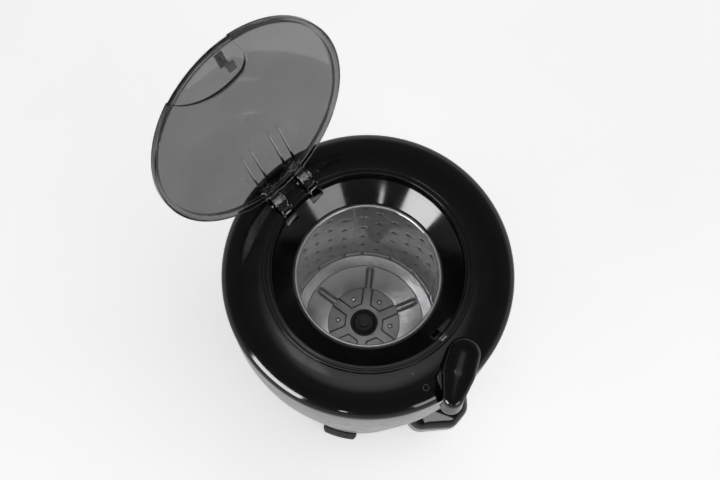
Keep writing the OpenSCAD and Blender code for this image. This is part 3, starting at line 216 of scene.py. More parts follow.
def smoked(name, tint=0.215):
    n = Nodes(name)
    n.shades(n.noise(14, 2), (tint * 0.95,) * 3, (tint * 1.07,) * 3)
    n.rough(n.noise(40, 4), 0.015, 0.05)
    n.bump((n.noise(20, 2), 0.25, 0.12), (n.noise(300, 2), 0.008, 0.15))
    n.set(Transmission_Weight=1.0, IOR=1.58)
    return n.material


def rubber(name):
    n = Nodes(name)
    n.shades(n.noise(45), (0.012, 0.012, 0.012), (0.024, 0.024, 0.024))
    n.rough(n.noise(90, 5), 0.55, 0.75)
    n.bump((n.noise(1200, 3, 0.6), 0.05, 0.6), (n.noise(70, 2), 0.1, 0.15))
    return n.material


def laminated(name):
    n = Nodes(name)
    sheets = n.add("TexWave", bands_direction="Z")
    n.link(n.where, sheets.inputs["Vector"])
    sheets.inputs["Scale"].default_value = 320
    sheets.inputs["Distortion"].default_value = 0.4
    n.shades(n.noise(60), (0.12, 0.12, 0.13), (0.2, 0.2, 0.21))
    n.rough(n.noise(80), 0.4, 0.6)
    n.bump((sheets.outputs["Fac"], 0.1, 0.6), (n.noise(500), 0.04, 0.4))
    n.set(Metallic=0.9)
    return n.material


def wound(name):
    n = Nodes(name, around_axis)
    wires = n.add("TexWave", bands_direction="Z")
    n.link(n.where, wires.inputs["Vector"])
    wires.inputs["Scale"].default_value = 300
    wires.inputs["Distortion"].default_value = 1.5
    wires.inputs["Detail"].default_value = 2
    n.shades(n.noise(50), (0.30, 0.10, 0.03), (0.5, 0.2, 0.07))
    n.rough(n.noise(80), 0.3, 0.45)
    n.bump((wires.outputs["Fac"], 0.5, 0.8), (n.noise(300), 0.05, 0.3))
    n.set(Metallic=0.8, Coat_Weight=0.4, Coat_Roughness=0.2)
    return n.material


looks = {
    "silver": silver_paint("silver_paint"),
    "black": gloss_black("gloss_black"),
    "black_matte": moulded("black_plastic", (0.018,) * 3, (0.028,) * 3),
    "smoke": smoked("smoked_clear"),
    "tub_white": moulded("tub_plastic", (0.66, 0.66, 0.64), (0.74, 0.74, 0.72), 0.35, 0.5, 600, 0.03),
    "rubber": rubber("rubber"),
    "stainless": stainless("rolled_stainless"),
    "steel": metal("plated_steel", (0.42, 0.42, 0.43), (0.56, 0.56, 0.57)),
    "screw": metal("zinc_screw", (0.5, 0.5, 0.51), (0.64, 0.64, 0.65), 0.22, 0.36),
    "painted_dark": moulded("dark_enamel", (0.03,) * 3, (0.045,) * 3, 0.3, 0.42, 500, 0.04),
    "castal": metal("cast_alloy", (0.42, 0.42, 0.43), (0.55, 0.55, 0.56), 0.42, 0.6, 90, 0.12),
    "iron": laminated("laminated_iron"),
    "copper": wound("wound_copper"),
    "lining": moulded("brake_lining", (0.05, 0.032, 0.02), (0.11, 0.07, 0.045), 0.7, 0.9, 700, 0.2),
    "nylon": moulded("nylon", (0.7, 0.67, 0.58), (0.78, 0.75, 0.66), 0.35, 0.5, 600, 0.03),
}
slots = {part["node"]: part["material_slot"] for part in frame["record"]["subparts"]}
bodies = {node: body for body, names in frame["record"]["behaviour"]["bodies"].items() for node in names}
for name, obj in nodes.items():
    obj.data.materials.clear()
    obj.data.materials.append(looks[slots[name]])
    obj.data.shade_smooth()
    obj.data.set_sharp_from_angle(angle=math.radians(28))

# ---------------------------------------------------------------- mesh helpers
def add_piece(name, verts, faces, body, slot, node=None, angle=32):
    """A closed mesh, in millimetres, that rides on a body and may stand for CAD nodes."""
    mesh = bpy.data.meshes.new(name)
    mesh.from_pydata([(x * MM, y * MM, z * MM) for x, y, z in verts], [], faces)
    work = bmesh.new()
    work.from_mesh(mesh)
    bmesh.ops.remove_doubles(work, verts=work.verts, dist=0.004 * MM)
    bmesh.ops.recalc_face_normals(work, faces=work.faces)
    work.to_mesh(mesh)
    work.free()
    obj = bpy.data.objects.new(name, mesh)
    scene.collection.objects.link(obj)
    return dress(obj, body, slot, node, angle)


def dress(obj, body, slot, node=None, angle=32):
    obj.data.materials.clear()
    obj.data.materials.append(looks[slot])
    shade(obj, angle)
    if body:
        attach(obj, body)
    if node:
        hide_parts(*([node] if isinstance(node, str) else node))
    return obj


def finish(obj, material):
    obj.data.materials.clear()
    obj.data.materials.append(material)


def turned(point, angle, axis):
    """A turn about an axis through a point."""
    return Matrix.Translation(point) @ Matrix.Rotation(angle, 4, axis) @ Matrix.Translation(-point)


def merged(name, parts, body, slot, node=None, angle=32):
    """One object from closed pieces that don't touch."""
    work = bmesh.new()
    for part in parts:
        work.from_mesh(part.data)
        bpy.data.objects.remove(part)
    mesh = bpy.data.meshes.new(name)
    work.to_mesh(mesh)
    work.free()
    obj = bpy.data.objects.new(name, mesh)
    scene.collection.objects.link(obj)
    return dress(obj, body, slot, node, angle)


def shade(obj, angle):
    obj.data.shade_smooth()
    obj.data.set_sharp_from_angle(angle=math.radians(angle))


def flatten(obj):
    """Apply the object's modifiers to its mesh."""
    graph = bpy.context.evaluated_depsgraph_get()
    mesh = bpy.data.meshes.new_from_object(obj.evaluated_get(graph))
    obj.modifiers.clear()
    obj.data = mesh
    return obj


def combine(obj, other, operation):
    modifier = obj.modifiers.new("combine", "BOOLEAN")
    modifier.operation = operation
    modifier.solver = "EXACT"
    modifier.object = other
    flatten(obj)
    bpy.data.objects.remove(other)
    return obj


def cut(obj, other):
    return combine(obj, other, "DIFFERENCE")


def join(obj, other):
    return combine(obj, other, "UNION")


def bevelled(node, width):
    """A copy of a CAD node with its edges rounded, which stands for it."""
    obj = bpy.data.objects.new(node + "_soft", nodes[node].data.copy())
    scene.collection.objects.link(obj)
    work = bmesh.new()
    work.from_mesh(obj.data)
    bmesh.ops.remove_doubles(work, verts=work.verts, dist=0.01 * MM)
    bmesh.ops.dissolve_limit(work, angle_limit=math.radians(2), verts=work.verts, edges=work.edges)
    work.to_mesh(obj.data)
    work.free()
    edge = obj.modifiers.new("edge", "BEVEL")
    edge.width = width * MM
    edge.segments = 3
    edge.limit_method = "ANGLE"
    edge.angle_limit = math.radians(30)
    edge.harden_normals = False
    flatten(obj)
    return dress(obj, bodies[node], slots[node], node, 40)


def outline(*points, steps=5):
    """Corners (x, y) or, with a fillet, (x, y, radius) as a smooth closed line."""
    line = []
    for i, (x, y, *fillet) in enumerate(points):
        corner = Vector((x, y))
        if not fillet:
            line.append((x, y))
            continue
        before = Vector(points[i - 1][:2]) - corner
        after = Vector(points[(i + 1) % len(points)][:2]) - corner
        reach = fillet[0] / math.tan(before.angle(after) / 2)
        reach = min(reach, before.length * 0.49, after.length * 0.49)
        start, end = corner + before.normalized() * reach, corner + after.normalized() * reach
        for k in range(steps + 1):
            t = k / steps
            line.append(tuple(start * (1 - t) ** 2 + corner * 2 * t * (1 - t) + end * t * t))
    return line


def lathe(name, line, body, slot, node=None, segments=256, smooth=38):
    """Revolve a closed line of (radius, height) round the drum's axis."""
    verts, faces, rings = [], [], []
    for r, z in line:
        if r < 1e-4:
            rings.append([len(verts)] * segments)
            verts.append((0, 0, z))
        else:
            rings.append([len(verts) + k for k in range(segments)])
            verts += [(r * math.cos(math.tau * k / segments), r * math.sin(math.tau * k / segments), z)
                      for k in range(segments)]
    for a, b in zip(rings, rings[1:] + rings[:1]):
        for k in range(segments):
            j = (k + 1) % segments
            face = list(dict.fromkeys((a[k], a[j], b[j], b[k])))
            if len(face) > 2:
                faces.append(face)
    return add_piece(name, verts, faces, body, slot, node, smooth)


def true_normals(obj, line, soft=38):
    """Give the revolved faces of a cut lathe their exact normals, so its gloss stays clean."""
    pts = np.array(line)
    nxt = np.roll(pts, -1, axis=0)
    along = nxt - pts
    length = np.maximum(np.linalg.norm(along, axis=1), 1e-9)
    area = np.sum(pts[:, 0] * nxt[:, 1] - nxt[:, 0] * pts[:, 1])
    normal = np.stack([along[:, 1], -along[:, 0]], 1) / length[:, None] * (1 if area > 0 else -1)
    before = np.roll(normal, 1, axis=0)
    keep = np.sum(normal * before, axis=1) > math.cos(math.radians(soft))
    shared = normal + before
    shared /= np.maximum(np.linalg.norm(shared, axis=1), 1e-9)[:, None]
    at_start = np.where(keep[:, None], shared, normal)
    keep_next = np.roll(keep, -1)
    at_end = np.where(keep_next[:, None], np.roll(shared, -1, axis=0), normal)
    mesh = obj.data
    out = np.zeros((len(mesh.loops), 3))
    for poly in mesh.polygons:
        centre, flat = np.array(poly.center) / MM, np.array(poly.normal)
        r = math.hypot(centre[0], centre[1])
        radial = np.array([centre[0], centre[1]]) / max(r, 1e-9)
        profile = np.array([flat[0] * radial[0] + flat[1] * radial[1], flat[2]])
        for loop in poly.loop_indices:
            out[loop] = flat
        if np.linalg.norm(profile) < 0.985:
            continue
        local = np.clip(np.sum((np.array([r, centre[2]]) - pts) * along, 1) / length ** 2, 0, 1)
        gaps = np.linalg.norm(pts + along * local[:, None] - np.array([r, centre[2]]), axis=1)
        gaps[normal @ profile < 0.9] = 1e9
        best = int(np.argmin(gaps))
        if gaps[best] > 0.6:
            continue
        for loop in poly.loop_indices:
            v = np.array(mesh.vertices[mesh.loops[loop].vertex_index].co) / MM
            vr = math.hypot(v[0], v[1])
            t = np.clip(np.dot(np.array([vr, v[2]]) - pts[best], along[best]) / length[best] ** 2, 0, 1)
            n2 = at_start[best] * (1 - t) + at_end[best] * t
            out[loop] = (n2[0] * v[0] / max(vr, 1e-9), n2[0] * v[1] / max(vr, 1e-9), n2[1])
    mesh.normals_split_custom_set([tuple(n) for n in out])
    return obj


def prism(name, line, low, high):
    """An upright block over a closed line, for cutting and joining."""
    count = len(line)
    verts = [(x, y, low) for x, y in line] + [(x, y, high) for x, y in line]
    faces = [list(range(count))[::-1], list(range(count, 2 * count))]
    faces += [(k, (k + 1) % count, count + (k + 1) % count, count + k) for k in range(count)]
    return add_piece(name, verts, faces, None, "black")


def disc(x, y, radius, count=48):
    return [(x + radius * math.cos(math.tau * k / count), y + radius * math.sin(math.tau * k / count))
            for k in range(count)]


def block(name, x0, x1, y0, y1, z0, z1, radius=0.6):
    return prism(name, outline((x0, y0, radius), (x1, y0, radius), (x1, y1, radius), (x0, y1, radius), steps=3), z0, z1)


def ease(value):
    value = min(max(value, 0.0), 1.0)
    return value * value * (3 - 2 * value)


def bow(a, b, c, count):
    """Points on a quadratic curve, both ends included."""
    return [tuple((1 - t) ** 2 * p + 2 * t * (1 - t) * q + t * t * s for p, q, s in zip(a, b, c))
            for t in (k / count for k in range(count + 1))]


# ---------------------------------------------------------------- deck and funnel
DECK_IN, DECK_RIM, CROWN = 124.0, 172.5, 21.0
ARM_X, ARM_W, HINGE = 20.5, 15.4, Vector((0, 132.7, 591.8))


def crown(r, top=SEAT - 3, inner=DECK_IN, rim=DECK_RIM, drop=CROWN):
    return top - drop * (1 - math.sqrt(max(0, 1 - ((r - inner) / (rim - inner)) ** 2)))


def crown_line(count, top, rim, drop):
    out = []
    for k in range(count + 1):
        r = DECK_IN + (rim - DECK_IN) * math.sin(math.pi / 2 * k / count)
        out.append((r, crown(r, top, DECK_IN, rim, drop)))
    return out


deck_line = (crown_line(40, SEAT - 3, DECK_RIM, CROWN)
             + outline((172.5, 575.2), (172.5, 573.6, 0.8), (171.0, 572.9, 0.4), (171.0, 570.9, 0.4),
                       (172.3, 570.3, 0.7), (172.0, 565.2, 0.6), (170.4, 564.4, 0.4), (170.4, 562.3, 0.3),
                       (169.2, 562.3, 0.3), (169.2, 573.0))
             + crown_line(28, SEAT - 5.5, DECK_RIM - 2.5, CROWN - 2.5)[::-1])
funnel_line = (outline((120.9, 591.9), (129.0, 591.9, 0.3), (129.0, 594.1, 0.3), (123.4, 594.1, 0.3),
                       (123.4, 600.0, 1.1), (120.4, 600.0, 0.65), (120.4, 598.8, 0.4), (118.4, 598.8, 0.4),
                       (118.4, 600.0, 0.65), (116.4, 600.0))[:-1]
               + outline((116.4, 600.0), (114.4, 600.0, 1.2), (113.2, 587.5), steps=6)[:-1]
               + bow((113.0, 589.0), (102.2, 576.8), (89.5, 564.0), 44)[1:]
               + [(89.25, 563.3), (89.25, 562.5), (89.6, 561.7)]
               + bow((90.2, 561.3), (107.0, 571.0), (117.0, 597.2), 24)[1:]
               + [(120.8, 596.3)])


def arm_slot(name, side):
    x0 = side * ARM_X - ARM_W / 2 - 1
    return block(name, x0, x0 + ARM_W + 2, 104.5, 141.2, 563, 623, 0.9)


deck = lathe("deck_top", deck_line, "cabinet", "black", "deck", RING)
for side in (-1, 1):
    cut(deck, arm_slot("slot", side))
cut(deck, prism("bore", disc(*PIVOT, 8.1), 560, 620))
true_normals(deck, deck_line)
for side in (-1, 1):
    for end in (-1, 1):
        ear = prism("ear", outline((-5, 0, 4.9), (-3, -5, 2), (3, -5, 2), (5, 0, 4.9), (9, 1.2), (-6, 4.0)),
                    -1.5, 1.5)
        place = Vector((side * ARM_X + end * (ARM_W / 2 + 3.1), HINGE.y, HINGE.z)) * MM
        ear.data.transform(Matrix.Translation(place) @ Matrix.Rotation(math.pi / 2, 4, "Z")
                           @ Matrix.Rotation(math.pi / 2, 4, "X"))
        ear.name = "hinge_ear_%s%s" % ("l" if side < 0 else "r", "i" if end * side < 0 else "o")
        dress(ear, "cabinet", "black")

funnel = lathe("funnel_bowl", funnel_line, "cabinet", "black", "funnel", RING)
skirt_line = outline((109, 552), (111.5, 552, 0.6), (111.5, 588), (109, 585))
skirt = lathe("skirt", skirt_line, None, "black", None, RING)
join(funnel, skirt)
for side in (-1, 1):
    cut(funnel, arm_slot("slot", side))
    cut(funnel, block("pocket", side * ARM_X - 12.7, side * ARM_X + 12.7, 123.8, 143.8, 588, 597))
cut(funnel, block("latch_slot", -3.0, 8.0, -119.8, -105.3, 566, 626, 0.8))
cut(funnel, block("claw_window", -4.5, 27.5, -113.5, -105.5, 581, 588, 0.5))
true_normals(funnel, funnel_line)

# ---------------------------------------------------------------- drum
FLOOR_Z, DRUM_R, WALL_TOP = 269.0, 105.3, 538.3
WELD, HOLE_R = math.radians(54), 2.2
PLAIN = math.radians(14.6)  # the strip without holes at the weld
COLUMNS, ROWS, ROW_PITCH = 31, 12, 21.775
SPLIT = 6  # faces along each side of a hole's cell


def wall_radius(angle):
    turn = (angle - WELD + math.pi) % math.tau - math.pi
    return DRUM_R - 0.55 * math.exp(-(turn * DRUM_R / 0.9) ** 2)


def drum_wall():
    verts, faces = [], []
    step = (math.tau - PLAIN) / (COLUMNS - 1)
    first = WELD + PLAIN / 2 - step / 2
    edges = [first + step * k for k in range(COLUMNS + 1)] + [first + math.tau]
    rows = [FLOOR_Z - 2] + [FLOOR_Z + 8 + ROW_PITCH * (j + 0.5) for j in range(ROWS)]

    def place(angle, z, outer, sink=0.0):
        r = DRUM_R + 1 if outer else wall_radius(angle) + sink
        verts.append((r * math.cos(angle), r * math.sin(angle), z))
        return len(verts) - 1

    def patch(a0, a1, z0, z1, outer):
        grid = [[place(a0 + (a1 - a0) * i / SPLIT, z0 + (z1 - z0) * j / SPLIT, outer)
                 for i in range(SPLIT + 1)] for j in range(SPLIT + 1)]
        for j in range(SPLIT):
            for i in range(SPLIT):
                faces.append((grid[j][i], grid[j][i + 1], grid[j + 1][i + 1], grid[j + 1][i]))

    def pierced(a0, a1, z0, z1, zc):
        ac, rims, lip = (a0 + a1) / 2, [], HOLE_R * 1.75
        for outer in (False, True):
            border = [(a0 + (a1 - a0) * k / SPLIT, z0) for k in range(SPLIT)]
            border += [(a1, z0 + (z1 - z0) * k / SPLIT) for k in range(SPLIT)]
            border += [(a1 - (a1 - a0) * k / SPLIT, z1) for k in range(SPLIT)]
            border += [(a0, z1 - (z1 - z0) * k / SPLIT) for k in range(SPLIT)]
            rings = [[place(a, z, outer) for a, z in border]]
            for share, sink in ((0.55, 0), (0.0, 0.0), (-0.55, 0.16), (-1, 0.42)):
                ring = []
                for a, z in border:
                    dx, dz = (a - ac) * DRUM_R, z - zc
                    far = math.hypot(dx, dz)
                    reach = lip + (far - lip) * share if share > 0 else lip + HOLE_R * 0.75 * share
                    ring.append(place(ac + dx / far * reach / DRUM_R, zc + dz / far * reach, outer, sink))
                rings.append(ring)
            count = len(border)
            for one, two in zip(rings, rings[1:]):
                for k in range(count):
                    j = (k + 1) % count
                    faces.append((one[k], one[j], two[j], two[k]))
            rims.append(rings[-1])
        count = len(rims[0])
        for k in range(count):
            j = (k + 1) % count
            faces.append((rims[0][k], rims[0][j], rims[1][j], rims[1][k]))

    for c in range(COLUMNS + 1):
        for row in range(ROWS):
            z0, z1 = rows[row], rows[row + 1]
            if c < COLUMNS and row % 2 == c % 2:
                pierced(edges[c], edges[c + 1], z0, z1, FLOOR_Z + 8 + ROW_PITCH * row)
            else:
                for outer in (False, True):
                    patch(edges[c], edges[c + 1], z0, z1, outer)
    angles = [a + (b - a) * i / SPLIT for a, b in zip(edges, edges[1:]) for i in range(SPLIT)]
    top = rows[-1]
    inner = [(DRUM_R, top + (WALL_TOP - top) * t / 3) for t in range(4)]
    curl = bow((DRUM_R, WALL_TOP), (DRUM_R, 553.3), (85.9, 559.4), 14)
    bead = [(86.0 + 1.9 * math.cos(a), 562.3 + 1.9 * math.sin(a))
            for a in (math.radians(d) for d in range(-110, -431, -18))]
    back = [(p + 1 - 0.6 * t / 14, q + 0.75 * t / 14) for t, (p, q) in enumerate(curl)][::-1]
    outer = [(DRUM_R + 1, WALL_TOP - (WALL_TOP - top) * t / 3) for t in range(4)]
    line = inner + curl[1:-1] + bead[:-3] + back[1:-1] + outer
    loop = []
    for r, z in line:
        ring = []
        for a in angles:
            share = ease((WALL_TOP + 4 - z) / 12)
            shift = (wall_radius(a) - DRUM_R) * share if r <= DRUM_R + 0.01 else 0
            verts.append(((r + shift) * math.cos(a), (r + shift) * math.sin(a), z))
            ring.append(len(verts) - 1)
        loop.append(ring)
    for one, two in zip(loop, loop[1:]):
        for k in range(len(angles)):
            j = (k + 1) % len(angles)
            faces.append((one[k], one[j], two[j], two[k]))
    low = rows[0]
    for k in range(len(angles)):
        a, b = angles[k], angles[(k + 1) % len(angles)]
        faces.append((place(a, low, False), place(b, low, False), place(b, low, True), place(a, low, True)))
    return verts, faces


add_piece("drum_wall", *drum_wall(), "drum", "stainless", "drum_shell", 40)
RIB_TURN = math.radians(38.5)
BORE_R = 7.05  # of the pieces on the shaft


def sheet(name, line, under, lift, body, slot, node, segments=360, angle=40):
    """A pressed sheet: two revolved faces, the same rises pressed into both."""
    verts, faces, rings = [], [], []
    for side, profile in ((0, line), (1, under[::-1])):
        for r, z in profile:
            rings.append([len(verts) + k for k in range(segments)])
            for k in range(segments):
                a = math.tau * k / segments
                verts.append((r * math.cos(a), r * math.sin(a), z + lift(r, a, side)))
    for one, two in zip(rings, rings[1:] + rings[:1]):
        for k in range(segments):
            j = (k + 1) % segments
            faces.append((one[k], one[j], two[j], two[k]))
    return add_piece(name, verts, faces, body, slot, node, angle)


def rib(r, a, side):
    """Height of the floor's six pressed ribs."""
    turn = (a - RIB_TURN + math.pi / 6) % (math.pi / 3) - math.pi / 6
    x, y = r * math.cos(turn), r * math.sin(turn)
    off = math.hypot(max(53.9 - x, 0, x - 79.4), y)
    if x < 50:
        return 0
    return 3.0 * (1 - ease((off - (1.6 if side == 0 else 0.9)) / (4.2 if side == 0 else 4.0)))


def floor_face(z, *step):
    """The floor's flat out to the ribs' ends, then its stepped edge."""
    flat = [(BORE_R + (50 - BORE_R) * k / 4, z) for k in range(5)] + [(50.0 + 0.75 * k, z) for k in range(1, 49)]
    return flat + outline((86.0, z), *step)[1:]


floor_top = floor_face(FLOOR_Z, (86.3, FLOOR_Z, 0.5), (87.4, FLOOR_Z + 1.5, 0.7), (101.8, FLOOR_Z + 2.2, 1.6),
                       (104.2, FLOOR_Z + 3.4, 0.8), (104.2, FLOOR_Z + 4.4))
floor_under = floor_face(FLOOR_Z - 1, (86.9, FLOOR_Z - 1, 0.5), (88.0, FLOOR_Z + 0.5, 0.7),
                         (102.2, FLOOR_Z + 1.2, 1.6), (105.2, FLOOR_Z + 2.4, 0.8), (105.2, FLOOR_Z + 4.4))
base = sheet("drum_base", floor_top, floor_under, rib, "drum", "stainless", "drum_floor")
finish(base, stainless("pressed_stainless", False, 0.5))


def star(r, a, side):
    """Depth of the pockets pressed between the star's arms."""
    if side:
        return 0
    turn = (a - RIB_TURN) % (math.pi / 3) - math.pi / 6
    x, y = r * math.cos(turn), abs(r * math.sin(turn))
    inside = min(x - 26.6, (x * math.tan(math.pi / 6) - 6.93 - y) * math.cos(math.pi / 6))
    return -2.3 * ease(inside / 1.5)


plate_top = ([(BORE_R, FLOOR_Z + 3.0), (14, FLOOR_Z + 3.0), (19, FLOOR_Z + 3.0)]
             + [(19 + 0.6 * k, FLOOR_Z + 3.0) for k in range(1, 56)]
             + [(52.4, FLOOR_Z + 2.95), (52.75, FLOOR_Z + 2.75), (52.9, FLOOR_Z + 2.35), (52.9, FLOOR_Z + 1.9)])
plate_under = [(BORE_R, FLOOR_Z + 0.02), (52.9, FLOOR_Z + 0.02)]
star_plate = sheet("hub_star", plate_top, plate_under, star, "drum", "stainless", "hub_plate")
finish(star_plate, metal("hub_steel", (0.36, 0.36, 0.365), (0.44, 0.44, 0.445), 0.3, 0.42, 40))


def rivets():
    """Round heads in the pockets between the star's arms."""
    parts, head_line = [], outline((0, 0), (4.0, 0, 0.2), (3.9, 1.0, 0.6), (2.3, 2.4, 1.4), (0, 2.7))
    for k in range(6):
        turn = RIB_TURN + math.radians(30 + 60 * k)
        head = lathe("rivet", head_line, None, "black", None, 32)
        place = Vector((38.5 * math.cos(turn), 38.5 * math.sin(turn), FLOOR_Z + 0.72)) * MM
        head.data.transform(Matrix.Translation(place))
        parts.append(head)
    return merged("rivet_heads", parts, "drum", "stainless", "hub_rivets")


rivets()
CAP_Z = FLOOR_Z + 3.02
boss_line = outline((BORE_R, CAP_Z), (20.1, CAP_Z, 0.3), (20.1, CAP_Z + 1.0, 0.5), (16.6, CAP_Z + 1.5, 0.8),
                    (15.8, CAP_Z + 4.2, 0.9), (14.6, CAP_Z + 4.2, 0.6), (13.8, CAP_Z + 2.0, 0.8),
                    (BORE_R, CAP_Z + 2.0))
lathe("hub_boss", boss_line, "drum", "black_matte", "hub_cap", 160)


def nut():
    """Hexagon nut with turned chamfers, on its washer."""
    obj = prism("shaft_nut", disc(0, 0, 8.7, 6), CAP_Z + 3.2, CAP_Z + 9.0)
    dome_line = outline((0, CAP_Z + 2), (9.3, CAP_Z + 2), (9.3, CAP_Z + 8.0), (7.4, CAP_Z + 9.0, 0.4), (0, CAP_Z + 9.0))
    dome = lathe("dome", dome_line, None, "black", None, 96)
    combine(obj, dome, "INTERSECT")
    cut(obj, prism("bore", disc(0, 0, 7.02), CAP_Z, CAP_Z + 6))
    washer_line = outline((7.02, CAP_Z + 2.02), (11.5, CAP_Z + 2.02, 0.3), (11.5, CAP_Z + 3.2, 0.4),
                          (7.02, CAP_Z + 3.2))
    washer = lathe("washer", washer_line, None, "black", None, 96)
    return dress(join(obj, washer), "drum", "black_matte", "hub_nut", 30)


finish(nut(), moulded("grey_nut", (0.035,) * 3, (0.05,) * 3))

# ---------------------------------------------------------------- lid
LID_R, LID_OPEN = 125.6, math.radians(108.3)
PANEL_T = 2.5


def lid_top(r):
    return SEAT + 6 + 2.5 * (1 - (r / LID_R) ** 2)


def loft(name, rings):
    """A closed solid through rings, each a list of points of the same length."""
    count = len(rings[0])
    verts = [p for ring in rings for p in ring]
    faces = [list(range(count))[::-1], list(range(len(verts) - count, len(verts)))]
    for k in range(len(rings) - 1):
        low, high = k * count, (k + 1) * count
        faces += [(low + i, low + (i + 1) % count, high + (i + 1) % count, high + i) for i in range(count)]
    return add_piece(name, verts, faces, None, "black")


def side_plate(name, line, x0, x1, edge=0.0):
    """A plate across x over a line of (y, z), with its edges rounded."""
    obj = loft(name, [[(x, y, z) for y, z in line] for x in (x0, x1)])
    if edge:
        rounding = obj.modifiers.new("edge", "BEVEL")
        rounding.width = edge * MM
        rounding.segments = 3
        rounding.limit_method = "ANGLE"
        rounding.angle_limit = math.radians(35)
        flatten(obj)
    return obj


def recess_line(grow):
    """The swoosh-shaped step in the lid that the lock lever swings over."""
    big, small = Vector((26, 10)), Vector((36, 64))
    line = []
    for k in range(60):
        a = math.radians(149.9 - 1.6 * k)
        p = big + (74 + grow) * Vector((math.cos(a), math.sin(a)))
        if p.x < 36 or (p - small).length < 20 + grow:
            line.append(p)
    start = math.degrees(math.atan2(*(line[-1] - small).yx))
    for k in range(1, 13):
        a = math.radians(start * (1 - k / 12))
        line.append(small + (20 + grow) * Vector((math.cos(a), math.sin(a))))
    line += [Vector((x + grow, y)) for x, y in ((55, 58), (52, 47), (49.5, 37), (48.6, 24), (48, 12), (48, -40))]
    line.append(Vector((-38, -40)))
    return [(p.x + PIVOT[0], p.y + PIVOT[1]) for p in line][::-1]


def arc(centre, radius, start, end, count):
    turns = [math.radians(start + (end - start) * k / count) for k in range(count + 1)]
    return [(centre[0] + radius * math.cos(a), centre[1] + radius * math.sin(a)) for a in turns]


def hinge_arm(side):
    """A hooked arm: two fins that run out over the lid, and the web between them."""
    pin, middle, half, fin_t = (HINGE.y, HINGE.z), side * ARM_X, ARM_W / 2, 1.8
    top = [(y, lid_top(y) - 1) for y in (117, 95, 70, 50, 28)]
    under = bow((29, lid_top(29) - 2.3), (74, lid_top(74) - 4.5), (106.4, HINGE.z + 5.2), 12)[1:]
    fin = top + under + arc(pin, 27, 172, 282, 26) + [(136.2, 583.0), (138.2, 591.0)] + arc(pin, 5.4, 0, 150, 8)
    fin += [(123.0, 594.2), (118.6, 596.4), (117.4, 601.0)]
    web = arc(pin, 21, 176, 270, 22) + arc(pin, 19.2, 270, 176, 22)
    web += [(HINGE.y - 17.6, lid_top(115) - 1), (HINGE.y - 20.6, lid_top(115) - 1)]
    whole = None
    for x in (middle - half, middle + half - fin_t):
        plate = side_plate("fin", fin, x, x + fin_t, 0.5)
        whole = join(whole, plate) if whole else plate
    join(whole, side_plate("web", web, middle - half + fin_t / 2, middle + half - fin_t / 2))
    boss_line = outline((0, 19.6), (4.1, 19.6), (4.0, 22.3, 0.5), (2.1, 22.3, 0.4), (1.9, 21.0, 0.5), (0, 21.0))
    boss = lathe("boss", boss_line, None, "black", None, 40)
    boss.data.transform(Matrix.Translation(Vector((middle, *pin)) * MM) @ Matrix.Rotation(math.radians(134), 4, "X"))
    join(whole, boss)
    drill = loft("drill", [[(x, y, z) for y, z in arc(pin, 2.05, 0, 345, 23)] for x in (middle - 12, middle + 12)])
    return cut(whole, drill)


def make_lid():
    """The domed panel with its skirt, recess and arms: made closed, then turned open."""
    dome = [(r, lid_top(r)) for r in (119, 112, 100, 84, 66, 46, 24, 0)]
    under = [(r, lid_top(r) - PANEL_T) for r in (0, 24, 46, 66, 84, 100, 112)]
    skirt = outline((117.6, lid_top(118) - PANEL_T), (118.7, lid_top(118.7) - PANEL_T, 0.5), (118.7, 599.1, 0.4),
                    (120.1, 599.1, 0.4), (120.1, lid_top(120) - 2.6, 0.5), (123.9, lid_top(124) - 3.0, 1.6),
                    (123.9, 597.5, 0.35), (LID_R, 597.5, 0.35), (LID_R, lid_top(LID_R), 3.4),
                    (119, lid_top(119)), steps=6)
    shell = lathe("lid_panel", under + skirt[:-1] + dome, None, "smoke", None, 240)
    cut(shell, prism("recess", recess_line(0), 602.7, 640))
    tray = loft("tray", [[(x, y, z) for x, y in recess_line(g)] for g, z in
                         ((0.5, 600.4), (1.1, 600.55), (1.5, 600.95), (1.6, 601.5), (1.6, 640))])
    edge = outline((0, 599), (LID_R - 0.2, 599), (LID_R - 0.2, lid_top(LID_R), 3.4), (119, lid_top(119)), steps=6)
    envelope = lathe("envelope", edge + dome[1:], None, "black", None, 240)
    combine(tray, envelope, "INTERSECT")
    cut(tray, prism("well", recess_line(0), 602.7, 640))
    join(shell, tray)
    for side in (-1, 1):
        join(shell, hinge_arm(side))
    gate_line = outline((0, 605.2), (0, 607), (3.4, 607), (3.0, 605.6, 0.5), (1.3, 605.7, 0.4), (1.0, 605.2, 0.3))
    join(shell, lathe("gate", gate_line, None, "black", None, 40))
    arms = []
    for poly in shell.data.polygons:
        x, y, z = poly.center / MM
        below = y > LID_R or z < lid_top(math.hypot(x, y)) - 3.2
        if y > 26 and abs(abs(x) - ARM_X) < ARM_W / 2 + 0.5 and below:
            arms.append(poly.index)
    shell.data.transform(turned(HINGE * MM, -LID_OPEN, "X"))
    dress(shell, "lid", "smoke", "lid", 34)
    shell.data.materials.append(smoked("smoked_arms", 0.62))
    for index in arms:
        shell.data.polygons[index].material_index = 1


make_lid()
finish(nodes["latch_hook"], moulded("grey_hook", (0.09,) * 3, (0.12,) * 3))

# ---------------------------------------------------------------- lever, spout, feet, marks
def ball(x, y, z, radius, height=None, steps=40):
    """Points on a ball, or on one flattened to a height."""
    height = height or radius
    points = []
    for j in range(steps // 2 + 1):
        b = math.pi * j / (steps // 2) - math.pi / 2
        for k in range(steps if 0 < j < steps // 2 else 1):
            a = math.tau * k / steps
            points.append((x + radius * math.cos(a) * math.cos(b), y + radius * math.sin(a) * math.cos(b),
                           z + height * math.sin(b)))
    return points


